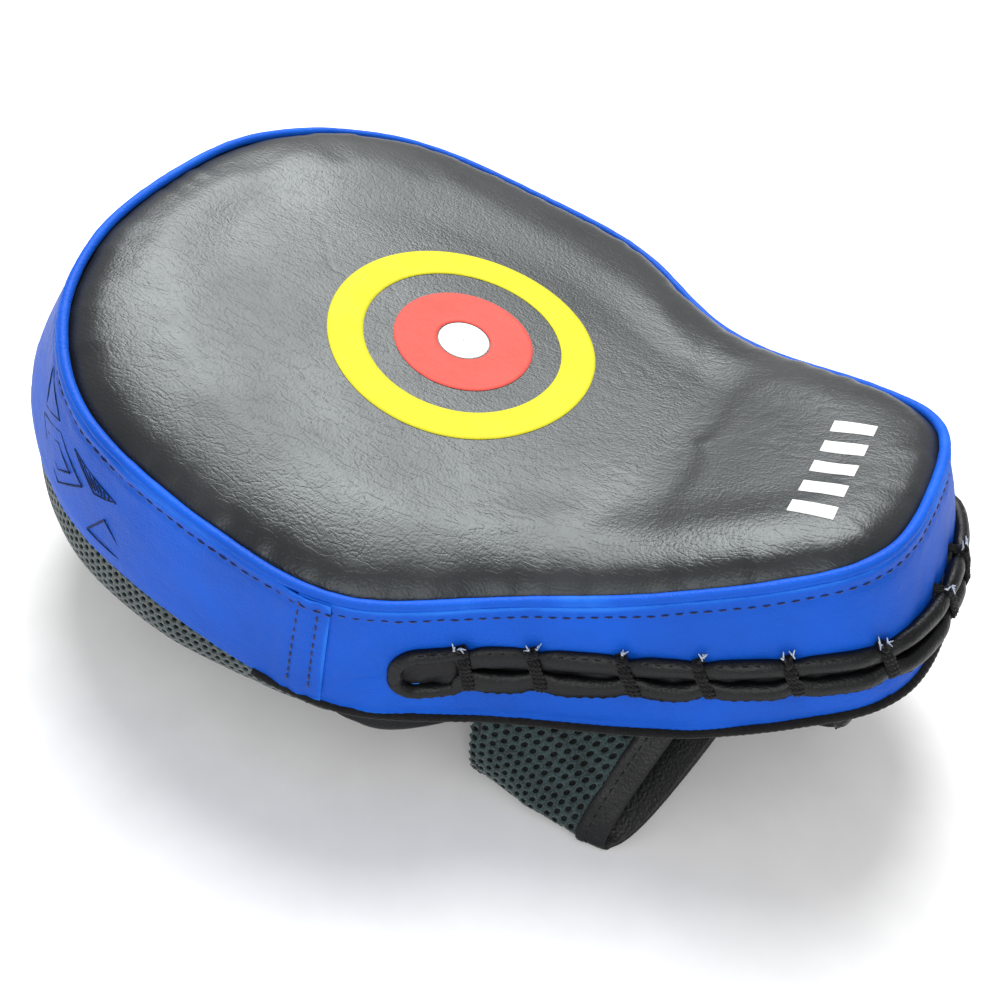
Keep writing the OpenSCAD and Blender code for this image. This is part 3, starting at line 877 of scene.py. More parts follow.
def finger_band():
    def overlap(q, depth):
        """The lapped ends ride over the wrist band, with two sewn rows and a folded edge."""
        room = np.minimum(np.abs(arc(q) - arc(SEAM)), np.abs(arc(q) - arc(-SEAM)))
        rows = sum(bump(room - row, 0.8) for row in SEAM_ROWS)
        edge = bump(room, 1.4)
        return SEAM_LIFT * (1 - eased(room, *LAP)) - 0.35 * rows + 0.15 * bump(room - 5.6, 1.4) - 0.25 * edge

    points, _, _ = band_grid(-SEAM, SEAM, overlap)
    o = piece("finger_band_cover", points, grid_faces(*points.shape[:2]), BLUE_PU,
              replaces=["finger_band"], slot="blue_pu")
    solidify(o, 0.75)


def wrist_band():
    points, q, depth = band_grid(SEAM_UNDER, CORNERS - SEAM_UNDER, slit_pull)
    rows, columns = points.shape[:2]
    faces = np.array(grid_faces(rows, columns))
    inside = (np.abs(depth - slit_middle(q)) < slit_half(q) - 0.6).ravel()
    faces = faces[~inside[faces].any(axis=1)].tolist()
    used = np.unique(np.array(faces))
    place = np.full(rows * columns, -1)
    place[used] = np.arange(len(used))
    o = piece("wrist_band_cover", points.reshape(-1, 3)[used], place[np.array(faces)].tolist(), BLUE_PU,
              replaces=["wrist_band"], slot="blue_pu")
    solidify(o, 0.75)


def band_stitches():
    q = np.linspace(0, CORNERS, 1500)
    room = np.minimum(np.abs(arc(q) - arc(SEAM)), np.abs(arc(q) - arc(CORNERS - SEAM)))
    lifted = SEAM_LIFT * (1 - eased(room, *LAP))
    on_finger = (q < SEAM) | (q > CORNERS - SEAM)
    out = band_relief(q, STITCH_DEPTH) + np.where(on_finger, lifted, 0) + 0.12
    parts = [stitches(wall(q, out, STITCH_DEPTH), outward(q))]
    for side in (1, -1):
        for row in SEAM_ROWS:
            at = at_arc(arc(SEAM) - row)
            depth = np.linspace(3, wall_depth(at) - 2, 60)
            relief = band_relief(np.full(60, at), depth) + SEAM_LIFT - 0.2
            line = np.full(60, at)
            points, up = wall(line, relief, depth), outward(line)
            mirror = (1, side, 1)
            parts.append(stitches(points * mirror, up * mirror, pitch=3.6, length=2.5, radius=0.3))
    piece("band_topstitch", *merged(parts), NAVY_THREAD, slot="thread")


LINES_START = 82.0               # distance along the outline from the finger tip


def band_lines():
    """Plain triangles and slanted boxes printed in outline on the finger end of both sides."""
    shapes = [
        [(2, 0.16), (17, 0.30), (6, 0.48), (2, 0.16)],
        [(6, 0.56), (19, 0.36), (33, 0.52), (22, 0.80), (6, 0.56)],
        [(12, 0.57), (19, 0.47), (27, 0.55), (21, 0.69), (12, 0.57)],
        [(27, 0.30), (38, 0.46), (46, 0.36), (27, 0.30)],
        [(37, 0.86), (43, 0.60), (54, 0.86), (37, 0.86)],
    ]
    hatching = [[(30 + 2.2 * k, 0.325 + 0.006 * k), (36 + 1.2 * k, 0.43 - 0.006 * k)] for k in range(7)]
    parts = []
    for side in (1, -1):
        for shape in shapes + hatching:
            for (a0, d0), (a1, d1) in zip(shape, shape[1:]):
                t = np.linspace(0, 1, 14)
                q = at_arc(arc(0) + LINES_START + a0 + (a1 - a0) * t)
                deep = (d0 + (d1 - d0) * t) * wall_depth(q)
                line = wall(q, band_relief(q, deep) + 0.1, deep) * (1, side, 1)
                up = outward(q) * (1, side, 1)
                parts.append(tube(line, 0.3, 0.16, up=up, sides=6))
    piece("band_line_print", *merged(parts), LINE_INK, slot="thread")


def rim_piping():
    q = np.linspace(0, CORNERS, 1100, endpoint=False)
    a = arc(q)
    r = PIPING * (0.88 + 0.035 * noise(a, a * 0, 3.0, 7) + 0.04 * noise(a, a * 0, 14, 8))
    path = wall(q, 0.1 - 0.88 * PIPING, 0.1 + 0.9 * far_side(outline(q)[:, 1]))
    roll = tube(path, r, r, up=np.broadcast_to((0, 0, 1.0), path.shape), sides=14, closed=True)
    piece("rim_piping_roll", *roll, BLUE_PU, replaces=["rim_piping"], slot="blue_pu", outside=True)


BINDING_START = 4.45             # outline parameter where the hood's own edge ends


def back_binding():
    q = at_arc(np.linspace(arc(BINDING_START), arc(CORNERS - BINDING_START), 1500))
    a = arc(q)
    rib = 1 + 0.03 * np.cos(2 * np.pi * a / 2.1)
    path = wall(q, -1.1, wall_depth(q) + lower_edge(q) + 0.8)
    piece("back_binding_rib", *tube(path, 1.9 * rib, 1.6 * rib, sides=10), BINDING,
          replaces=["back_binding"], slot="trim_pu", outside=True)


# ---- the laced slit ----

def slit_lips():
    along = np.linspace(0, np.pi, 460)
    q = TIP - (TIP - SLIT_START) * np.cos(along)
    turns = np.concatenate([q, q[::-1]])
    side = np.repeat([-1, 1], len(q))
    centre, half, depth = lip_measures(turns)
    out = lip_out(turns) + 0.25 * noise(arc(turns), side * 9.0, 9, 17)
    path = wall(turns, out, slit_middle(turns) + side * centre)
    up = outward(turns)
    across, _ = frames_along(path, up, True)
    a = np.linspace(0, 2 * np.pi, 18, endpoint=False)
    wrinkle = 1 + 0.035 * noise(arc(turns)[:, None], a[None] * 4, 3.2, 27)
    rings = (
        path[:, None]
        + across[:, None] * (half[:, None] * np.cos(a) * wrinkle)[..., None]
        + up[:, None] * (depth[:, None] * np.sin(a) * wrinkle)[..., None]
    )
    piece("slit_lips", *loft(rings, True), TRIM_PU, replaces=["slit_binding"], slot="trim_pu", outside=True)
    shoulder = wall(turns, out + depth * 0.62, slit_middle(turns) + side * (centre + half * 0.72))
    piece("slit_lip_stitches", *stitches(shoulder, up, pitch=3.2, length=2.2, radius=0.24), BLACK_THREAD,
          slot="thread")


def slit_lining():
    q = TIP - (TIP - SLIT_START + 0.04) * np.cos(np.linspace(0, np.pi, 420))
    across = np.linspace(-1, 1, 24)
    half = slit_half(np.clip(q, SLIT_START, CORNERS - SLIT_START)) + 2.0
    depth = slit_middle(q)[:, None] + across[None] * half[:, None]
    a = arc(q)[:, None]
    bulge = (0.6 + 1.7 * open_eye(q)[:, None]) * (1 - across[None] ** 2)
    wrinkled = 0.75 * noise(a, depth, 3.4, 37, 1.6, 60) - 0.6 * creases(a, depth, 5, 47, 0.25)
    points = wall(q[:, None], -1.0 + bulge + wrinkled, depth)
    o = piece("slit_lining_cloth", points, grid_faces(*points.shape[:2]), BACK_PU,
              replaces=["slit_lining"], slot="lining_cloth")
    solidify(o, 0.6)


def twisted(path, up, step=0.45, radius=0.4, twist=0.34, pitch=3.4):
    """(points, faces) of a cord of two strands laid round a path."""
    path, up = resampled(path, up, step=step)
    side, rise = frames_along(path, up, False)
    d = np.arange(len(path)) * step
    parts = []
    for k in range(2):
        a = 2 * np.pi * (d / pitch + k / 2)
        strand = path + side * (twist * np.cos(a))[:, None] + rise * (twist * np.sin(a))[:, None]
        parts.append(tube(strand, radius, up=up, sides=7))
    return merged(parts)


def tie(place, index):
    """(points, faces) of one tie's cords and knot, and of its frayed tips."""
    rng = np.random.default_rng(100 + index)
    centre, half, deep = lip_measures(np.array([place]))
    reach = float(centre[0] + half[0])
    crest = float(lip_out(place)) + float(deep[0]) + 0.55
    slant = 1.3 * (1 if place < TIP else -1)
    t = np.linspace(-1, 1, 25)
    cords, tips = [], []
    for k in range(3):
        offset = (k - 1) * 0.95 + slant * t
        q = at_arc(arc(place) + offset)
        depth = slit_middle(np.array([place]))[0] + t * (reach + 0.9)
        out = crest * (1 - np.abs(t) ** 5) - 1.2 * np.abs(t) ** 5 - 0.3 * bump(t, 0.2) + 0.15 * (k == 1)
        cords.append(twisted(wall(q, out, depth), outward(q)))
    top_depth = slit_middle(np.array([place]))[0] - reach - 0.2
    q = at_arc(arc(place) - slant * 0.9)
    knot = wall(q, 0.8 + float(lip_out(place)), top_depth)
    a = np.linspace(0, 2 * np.pi, 14, endpoint=False)
    for k in range(3):
        u, v = np.linalg.qr(rng.normal(size=(3, 2)))[0].T
        ring = knot + (np.cos(a)[:, None] * u + np.sin(a)[:, None] * v) * 1.15
        cords.append(tube(ring, 0.5, up=np.cross(u, v), sides=7, closed=True))
    up = bent(outline(q)[0], 0, 1.0) - bent(outline(q)[0], 0, 0.0)
    out = outward(np.array(q))
    along = np.cross(up, out)
    for k in range(2):
        lean = along * rng.uniform(-0.7, 0.7) + out * rng.uniform(0.0, 0.5)
        bend = along * rng.uniform(-1.2, 1.2)
        d = np.linspace(0, 1, 9)[:, None]
        tail = knot + (up + lean) * d * rng.uniform(2.0, 3.2) + bend * d**2
        cords.append(tube(tail, 0.42 - 0.1 * d[:, 0], up=out, sides=6))
        for _ in range(4):
            spread = rng.normal(size=3) * 0.55
            lift = (up * 0.9 + lean * 0.5 + spread) * d * rng.uniform(0.5, 1.0)
            hair = tail[-1] + lift + spread * d**2 * 0.5
            tips.append(tube(hair, 0.3 - 0.16 * d[:, 0], up=out, sides=5))
    return merged(cords), merged(tips)


def lacing():
    cords, tips = zip(*(tie(place, i) for i, place in enumerate(ALL_TIES)))
    piece("lacing_cords", *merged(cords), BLACK_THREAD, replaces=["lacing_ties"], slot="thread")
    piece("lacing_frayed_tips", *merged(tips), WHITE_THREAD, slot="thread")


# ---- spacer mesh ----

HOLE_SIDES = 12
HOLE_RIM = 0.31                  # hole radius as a share of the pitch
HOLE_DEPTH = 0.7


def hex_cells(centres, pitch):
    """Corner and mid-edge offsets of a lattice cell, in lattice units."""
    a = np.radians(np.arange(HOLE_SIDES) * 30)
    reach = np.where(np.arange(HOLE_SIDES) % 2 == 0, 0.5, 0.5 / np.cos(np.radians(30)))
    return centres[:, None] + np.stack([np.cos(a), np.sin(a)], -1)[None] * (reach * pitch)[None, :, None]


def perforated(surface, centres, pitch):
    """Points and faces of a sheet with a round dimple in each cell of a lattice, and where its floors start.
    surface maps lattice points to (position, outward normal)."""
    outer = hex_cells(centres, pitch)
    flat, seen = [], {}
    index = np.zeros(outer.shape[:2], int)
    for c in range(len(outer)):
        for k in range(HOLE_SIDES):
            key = (round(outer[c, k, 0] / pitch * 12), round(outer[c, k, 1] / pitch * 12))
            if key not in seen:
                seen[key] = len(flat)
                flat.append(outer[c, k])
            index[c, k] = seen[key]
    base, _ = surface(np.array(flat))
    a = np.radians(np.arange(HOLE_SIDES) * 30)
    ring = np.stack([np.cos(a), np.sin(a)], -1)
    points, count = [base], len(base)
    cells = len(centres)
    starts = []
    for radius, depth in ((HOLE_RIM * 1.12, -0.12), (HOLE_RIM * 0.95, 0.25), (HOLE_RIM * 0.8, HOLE_DEPTH)):
        p, n = surface((centres[:, None] + ring[None] * radius * pitch).reshape(-1, 2))
        points.append(p - n * depth)
        starts.append(count + np.arange(cells)[:, None] * HOLE_SIDES + np.arange(HOLE_SIDES)[None])
        count += cells * HOLE_SIDES
    loops = [index] + starts
    faces = []
    for low, high in zip(loops, loops[1:]):
        quad = np.stack([low, np.roll(low, -1, 1), np.roll(high, -1, 1), high], -1)
        faces.append(quad.reshape(-1, 4))
    faces = np.concatenate(faces).tolist()
    walls = len(faces)
    faces += starts[-1].tolist()
    return np.concatenate(points), faces, walls


def mesh_cloth(name, surface, centres, pitch, node):
    points, faces, walls = perforated(surface, centres, pitch)
    o = piece(name, points, faces, [SPACER, SPACER_SHADED], replaces=[node], slot="spacer_mesh")
    material = np.zeros(len(faces), np.int32)
    # The deepest ring of hole walls and the hole floors take the darker copy: painted shade in the holes.
    material[walls - len(centres) * HOLE_SIDES:] = 1
    o.data.polygons.foreach_set("material_index", material)
    return o


def path_length(points):
    return float(np.linalg.norm(np.diff(points, axis=0), axis=1).sum())


def cloth_area(surface, centres, pitch):
    """Square metres of the cloth that the cells cover once it is laid on its surface, without their holes."""
    across = surface(centres + (0.5, 0))[0] - surface(centres - (0.5, 0))[0]
    lengthwise = surface(centres + (0, 0.5))[0] - surface(centres - (0, 0.5))[0]
    stretch = np.linalg.norm(np.cross(across, lengthwise), axis=-1)
    return float(stretch.sum() * pitch**2 * np.sqrt(3) / 2 * MM**2)


def lattice(low, high, pitch):
    """Centres of a hexagonal lattice over a box."""
    apart = pitch * np.sqrt(3) / 2
    rows = int((high[1] - low[1]) / apart) + 1
    columns = int((high[0] - low[0]) / pitch) + 1
    made = [
        (low[0] + (i + 0.5 * (j % 2)) * pitch, low[1] + j * apart)
        for j in range(rows) for i in range(columns)
    ]
    return np.array(made)


# ---- finger hood ----

HOOD_INSET = np.array([(3.7, 1.6), (4.3, 4.2)])  # at the band's edge, and inside the binding further on
HOOD_POWER = 2.8
HOOD_BULGE = 12.5                # how far the fingertips push the mesh out below the band
HOOD_HEM = 9.0
HOOD_FLOOR = 0.15
MOUTH_X = float(on_back(131.0, 0, 0)[0])
HOOD_CENTRE = MOUTH_X + 6
HOOD_Q = np.linspace(-5.1, 5.1, 400)
HOOD_EDGE = wall(HOOD_Q, -looked_up(HOOD_INSET, np.abs(HOOD_Q)), wall_depth(HOOD_Q) + GAP)
HOOD_ANGLE = np.unwrap(np.arctan2(HOOD_EDGE[:, 1], HOOD_CENTRE - HOOD_EDGE[:, 0]))
HOOD_RADIUS = np.hypot(HOOD_EDGE[:, 1], HOOD_CENTRE - HOOD_EDGE[:, 0])
LEVELS = np.radians(np.linspace(0, 90, 90))


def hood_point(angle, level):
    """A point of the hood: angle round its middle, level 0 at the mitt's back and 90 degrees on the floor."""
    edge_z = np.interp(angle, HOOD_ANGLE, HOOD_EDGE[:, 2])
    radius = np.interp(angle, HOOD_ANGLE, HOOD_RADIUS)
    share = np.maximum(np.cos(level), 0) ** (2 / HOOD_POWER)
    down = np.sin(level) ** (2 / HOOD_POWER)
    bulge = HOOD_BULGE * np.maximum(np.cos(angle), 0) ** 1.5 * np.sin(2 * level)
    r = radius * share + bulge
    z = edge_z + (HOOD_FLOOR - edge_z) * down
    return np.stack([HOOD_CENTRE - r * np.cos(angle), r * np.sin(angle), z], -1)


def hood_normal(angle, level):
    e = 0.004
    a = hood_point(angle + e, level) - hood_point(angle - e, level)
    b = hood_point(angle, np.minimum(level + e, np.pi / 2)) - hood_point(angle, np.maximum(level - e, 0))
    n = unit(np.cross(a, b))
    down = np.stack([-np.cos(angle), np.sin(angle), np.full_like(angle, -1.0)], -1)
    return n * np.sign((n * down).sum(-1, keepdims=True))


ANGLE_TABLE = np.linspace(HOOD_ANGLE[0], HOOD_ANGLE[-1], 181)
MERIDIANS = hood_point(ANGLE_TABLE[:, None], LEVELS[None])
MERIDIAN_ARC = np.concatenate(
    [np.zeros((181, 1)), np.cumsum(np.linalg.norm(np.diff(MERIDIANS, axis=1), axis=2), axis=1)], axis=1
)
MERIDIAN_LENGTH = MERIDIAN_ARC[:, -1]


def hood_surface(flat):
    """Lattice points laid round the hood's lowest point: distance from it follows the cloth."""
    angle = np.arctan2(flat[:, 1], -flat[:, 0])
    away = np.hypot(flat[:, 0], flat[:, 1])
    whole = np.interp(angle, ANGLE_TABLE, MERIDIAN_LENGTH)
    down_from_edge = whole - away
    row = np.clip(np.round(np.interp(angle, ANGLE_TABLE, np.arange(181))).astype(int), 0, 180)
    down = np.maximum(down_from_edge, 0)
    level = np.array([np.interp(d, MERIDIAN_ARC[r], LEVELS) for d, r in zip(down, row)])
    p = hood_point(angle, level)
    above = np.maximum(-down_from_edge, 0)
    p[:, 2] += above
    p[:, :2] *= (1 - 0.006 * above)[:, None]
    relief = 0.5 * noise(flat[:, 0], flat[:, 1], 30, 61)
    n = hood_normal(angle, np.clip(level, 0.03, np.pi / 2 - 0.03))
    return p + n * relief[:, None] * eased(down_from_edge, 2, 12)[:, None], n


def finger_hood():
    pitch = 3.3
    centres = lattice((-230, -190), (20, 190), pitch)
    p, _ = hood_surface(centres)
    angle = np.arctan2(centres[:, 1], -centres[:, 0])
    over = np.hypot(centres[:, 0], centres[:, 1]) - np.interp(angle, ANGLE_TABLE, MERIDIAN_LENGTH)
    keep = (over < 3) & (p[:, 0] < MOUTH_X - HOOD_HEM + 2.5) & (np.abs(angle) < 1.55)
    o = mesh_cloth("finger_hood_cloth", hood_surface, centres[keep], pitch, "finger_hood_mesh")
    hood_backing()


def hood_backing():
    """The smooth inner face of the spacer mesh, coloured with the darker painted-shade copy of the mesh."""
    angle = np.linspace(-1.5, 1.5, 120)[:, None]
    level = np.radians(np.linspace(1, 89, 60))[None]
    p = hood_point(*np.broadcast_arrays(angle, level))
    n = hood_normal(*np.broadcast_arrays(angle, level))
    p = p - n * (MESH - 0.6)
    p[..., 2] = np.maximum(p[..., 2], 0.7)
    keep = p[..., 0] < MOUTH_X - 1
    faces = [f for f in grid_faces(120, 60) if keep.ravel()[f].all()]
    o = piece("finger_hood_inner", p, faces, SPACER_SHADED, slot="spacer_mesh")
    bm = bmesh.new()
    bm.from_mesh(o.data)
    bmesh.ops.delete(bm, geom=[v for v in bm.verts if not v.link_faces], context="VERTS")
    bm.to_mesh(o.data)
    bm.free()
    solidify(o, 0.5, 1.0)


def hood_height(x, y):
    """The hood's surface over (x, y), near its mouth."""
    angle = np.arctan2(y, HOOD_CENTRE - x)
    radius = np.interp(angle, HOOD_ANGLE, HOOD_RADIUS)
    edge_z = np.interp(angle, HOOD_ANGLE, HOOD_EDGE[:, 2])
    share = np.clip(np.hypot(y, HOOD_CENTRE - x) / radius, 0, 1)
    down = np.maximum(1 - share**HOOD_POWER, 0) ** (1 / HOOD_POWER)
    return np.stack([x, y, edge_z + (HOOD_FLOOR - edge_z) * down], -1)


def hem_line(x):
    """The hood's edge line across at x, evenly spaced, from -Y to +Y."""
    ys = np.interp(x, HOOD_EDGE[200:, 0], HOOD_EDGE[200:, 1])
    y = ys * np.sin(np.linspace(-np.pi / 2, np.pi / 2, 500))
    p = hood_height(np.full(500, x), y)
    d = np.concatenate([[0], np.cumsum(np.linalg.norm(np.diff(p, axis=0), axis=1))])
    at = np.linspace(0, d[-1], 220)
    return np.stack([np.interp(at, d, p[:, k]) for k in range(3)], -1)


def finger_hood_hem():
    """A folded binding round the mouth, with a stitched line near its inner edge."""
    across = np.array([0, 0.06, 0.2, 0.34, 0.5, 0.66, 0.8, 0.94, 1.0])
    lines = np.stack([hem_line(MOUTH_X - HOOD_HEM * (1 - a)) for a in across], 1)
    t = np.gradient(lines, axis=0)
    w = np.gradient(lines, axis=1)
    n = unit(np.cross(w, t))
    n = n * -np.sign(n[110, 4, 2])
    a = np.linspace(0, 1, 220)[:, None] * 460
    rounded = 0.55 * np.sqrt(np.clip(1 - (2 * across - 1) ** 6, 0, 1))
    puff = (rounded - 0.35 * bump(across - 0.2, 0.08))[None]
    puff = puff + 0.22 * noise(a, across[None] * 9, 7, 71)
    top = lines + n * (puff + 0.2)[..., None]
    base = lines - n * (MESH - 0.2)
    top[..., 2] = np.maximum(top[..., 2], 0.1)
    base[..., 2] = np.maximum(base[..., 2], 0.4)
    rings = np.concatenate([top, base[:, ::-1]], axis=1)
    piece("finger_hood_binding", *loft(rings), TRIM_PU, replaces=["finger_hood_hem"], slot="trim_pu",
          outside=True)
    seam = top[6:-6, 2] + n[6:-6, 2] * 0.1
    piece("finger_hood_stitches", *stitches(seam, n[6:-6, 2], pitch=3.4), BLACK_THREAD, slot="thread")


# ---- thumb side ----

FOLD_POWER = 3.0
THUMB_NEAR = np.array([(0, 165, -73), (1, 205, -53.5)])
THUMB_FAR = np.array([(0, 164, -42), (1, 217, -42)])
THUMB_FOLD = np.array([(0, 43, -71), (0.4, 59.5, -77.5), (0.8, 77.5, -80), (1, 86, -79.5)])
THUMB_FLOOR = 1.2
THUMB_BINDING = 0.84


def along(table, v):
    """The second and third columns at v; below 0 the second runs on at its average slope."""
    before = table[0, 1] + np.minimum(v, 0) * (table[-1, 1] - table[0, 1])
    second = np.interp(v, table[:, 0], table[:, 1]) + before - table[0, 1]
    return second, np.interp(v, table[:, 0], table[:, 2])


def fold_point(near, far, fold, angle, grow=0.0):
    """A U from near (angle 0) down to its fold (90 degrees) and up to far (180 degrees)."""
    middle = (near + far) / 2
    half, drop = near - middle, fold - middle
    half = half * (1 + grow / np.linalg.norm(half, axis=-1, keepdims=True))
    drop = drop * (1 + grow / np.linalg.norm(drop, axis=-1, keepdims=True))
    c, s = np.cos(angle)[..., None], np.sin(angle)[..., None]
    return middle + half * power_of(c, 2 / FOLD_POWER) + drop * np.abs(s) ** (2 / FOLD_POWER)


def thumb_point(v, angle, grow=0.0):
    v, angle = np.broadcast_arrays(np.asarray(v, float), np.asarray(angle, float))
    near_s, near_y = along(THUMB_NEAR, v)
    far_s, far_y = along(THUMB_FAR, v)
    fold_x, fold_y = along(THUMB_FOLD, v)
    fold = np.stack([fold_x, fold_y, np.full_like(fold_x, THUMB_FLOOR)], -1)
    return fold_point(on_back(near_s, near_y, GAP), on_back(far_s, far_y, GAP), fold, angle, grow)


THUMB_ANGLES = np.radians(np.linspace(0, 180, 361))


def thumb_even(v, share, grow=0.0):
    """The hood's surface by even shares of each row's length from its near top round the fold."""
    v, share = np.broadcast_arrays(np.asarray(v, float), np.asarray(share, float))
    rows = np.linspace(-0.1, 1.1, 49)
    table = thumb_point(rows[:, None], THUMB_ANGLES[None])
    d = np.concatenate([np.zeros((49, 1)), np.cumsum(np.linalg.norm(np.diff(table, axis=1), axis=2), 1)], 1)
    row = np.clip(np.round((v - rows[0]) / (rows[1] - rows[0])).astype(int), 0, 48)
    angle = np.array([
        np.interp(t * d[r, -1], d[r], THUMB_ANGLES) for t, r in zip(share.ravel(), row.ravel())
    ]).reshape(v.shape)
    return thumb_point(v, angle, grow)


def thumb_surface_normal(v, share):
    e = 0.01
    a = thumb_even(v + e * 3, share) - thumb_even(v - e * 3, share)
    b = thumb_even(v, np.clip(share + e, 0, 1)) - thumb_even(v, np.clip(share - e, 0, 1))
    return unit(np.cross(b, a))


THUMB_ACROSS = 84.0              # length of a row of the hood, from its near top round to its far top
THUMB_LONG = 41.0


def thumb_sheet(flat):
    v, share = flat[:, 1] / THUMB_LONG, flat[:, 0] / THUMB_ACROSS
    over = np.clip(share, 0.002, 0.998)
    p = thumb_even(v, over)
    n = thumb_surface_normal(v, over)
    sag = 0.7 * noise(flat[:, 0], flat[:, 1], 17, 81) * np.sin(np.pi * over)
    p = p + n * sag[:, None]
    p[:, 2] = np.maximum(p[:, 2], 0.35)
    return p, n


def thumb_hood():
    pitch = 2.95
    centres = lattice((2, -2), (THUMB_ACROSS - 2, THUMB_LONG * THUMB_BINDING + 2), pitch)
    o = mesh_cloth("thumb_hood_cloth", thumb_sheet, centres, pitch, "thumb_hood_mesh")
    low, high = (centres[:, 1].min() - pitch / 2) / THUMB_LONG, (centres[:, 1].max() + pitch / 2) / THUMB_LONG
    wide = path_length(thumb_even(np.full(90, high), np.linspace(0, 1, 90))) * MM
    long = path_length(thumb_even(np.linspace(low, high, 50), np.ones(50))) * MM
    cloth_area(thumb_sheet, centres, pitch)
    v, share = np.meshgrid(np.linspace(-0.05, THUMB_BINDING + 0.05, 24), np.linspace(0, 1, 60), indexing="ij")
    inner = thumb_even(v, share, -1.5)
    inner[..., 2] = np.maximum(inner[..., 2], 1.0)
    # The inner lining takes the darker painted-shade copy of the mesh colour.
    lining = piece("thumb_hood_inner", inner, grid_faces(24, 60), SPACER_SHADED, slot="spacer_mesh")
    solidify(lining, 0.5, 0.0)


def thumb_end():
    """The hood's closed end: a plug of leather with a rounded, slightly gathered edge."""
    v = np.array([-0.06, -0.058, -0.052, -0.04, -0.025, -0.01])[:, None]
    grow = np.array([-4.0, -2.0, -0.9, -0.3, 0.0, 0.0])[:, None]
    angle = np.radians(np.linspace(0, 180, 90))[None]
    gathers = 0.3 * noise(np.degrees(angle) * 0.5, v * THUMB_LONG, 4, 99)
    rings = thumb_point(v, angle, (grow + gathers)[..., None])
    piece("thumb_end_cap", *loft(rings), TRIM_PU, replaces=["thumb_hood_end"], slot="trim_pu", outside=True)


def thumb_binding():
    """A folded strip of leather round the mouth: flat, with a rolled edge and a stitched line."""
    v = np.array([0.80, 0.812, 0.84, 0.868, 0.90, 0.94, 0.98, 1.01, 1.03, 1.035])
    puff = np.array([0.35, 0.75, 0.95, 0.6, 0.95, 1.05, 1.1, 1.0, 0.6, 0.1])
    share = np.linspace(0.0, 1.0, 130)
    vv, ss = np.meshgrid(v, share, indexing="xy")
    n = thumb_surface_normal(vv, np.clip(ss, 0.01, 0.99))
    p = thumb_even(vv, ss)
    wrinkle = 0.25 * noise(ss * THUMB_ACROSS, vv * THUMB_LONG, 5, 91)
    top = p + n * (puff[None] + wrinkle)[..., None]
    base = p - n * 1.4
    for side in (top, base):
        side[..., 2] = np.maximum(side[..., 2], 0.1)
    rings = np.concatenate([top, base[:, ::-1]], axis=1)
    piece("thumb_mouth_binding", *loft(rings), TRIM_PU, replaces=["thumb_hood_binding"], slot="trim_pu",
          outside=True)
    line = top[2:-2, 3] + n[2:-2, 3] * 0.05
    seam = stitches(line, n[2:-2, 3], pitch=3.0, length=2.1, radius=0.26)
    piece("thumb_mouth_stitches", *seam, BLACK_THREAD, slot="thread")


WEB_START = 133.0                # station where the web begins
WEB_LENGTH = 27.0
WEB_WIDTH = 22.0
WEB_DEPTH = 14.5
WEB_INSET = 5.5


def thumb_web():
    """The padded web between the hoods, lightly wrinkled."""
    v = np.linspace(0, 1, 44)[:, None]
    a = np.radians(np.linspace(0, 180, 60))[None]
    s = WEB_START + WEB_LENGTH * v
    y = -width_at(s) + WEB_INSET
    depth = WEB_DEPTH * np.sin(np.radians(20 + 140 * v)) ** 0.7
    p = fold_point(on_back(s, y, GAP), on_back(s, y + WEB_WIDTH, GAP), on_back(s, y + 3, GAP + depth), a)
    out = unit(p - p.mean(axis=(0, 1)))
    relief = 0.7 * noise(s, a * 18 + s * 0, 9, 95) - 0.5 * creases(s + a * 0, a * 18 + s * 0, 11, 97, 0.15)
    o = piece("thumb_web_cover", *loft(p + out * relief[..., None]), TRIM_PU, replaces=["thumb_web_pad"],
              slot="trim_pu", outside=True)


# ---- hand side ----

def back_panel():
    """The back cover, slightly puffed between a middle seam and its sewn rim."""
    q = np.linspace(0.02, TIP - 0.02, 150)[:, None]
    u = np.linspace(-1, 1, 90)[None]
    p, n = outline(q), normal(q)
    inset = 2.0
    w = looked_up(FLARE, p[..., 0]) - inset
    s = p[..., 0] + n[..., 0] * w
    half = np.maximum(p[..., 1] + n[..., 1] * w, 0.05)
    y = u * half
    room = half * (1 - np.abs(u))
    puff = 0.9 * eased(room, 0, 14) + 0.35 * noise(s + 0 * u, y, 26, 101) * eased(room, 2, 12)
    fine = -0.25 * creases(s + 0 * u, y, 22, 111, 0.08) * eased(room, 2, 8)
    s = s + 0 * u
    top = on_back(s, y, -0.2 + 0.2 * puff + fine)
    base = on_back(s, y, -1.5)
    rings = np.concatenate([top, base[:, ::-1]], axis=1)
    o = piece("back_panel_cover", *loft(rings), BACK_PU, replaces=["back_panel"], slot="back_cloth",
              outside=True)


BALL_STATION = 158.0
BALL_RADIUS = 31.0
BALL_DEPTH = 24.0
BALL_WELT = 32.2                 # radius of the cord round the ball's rim


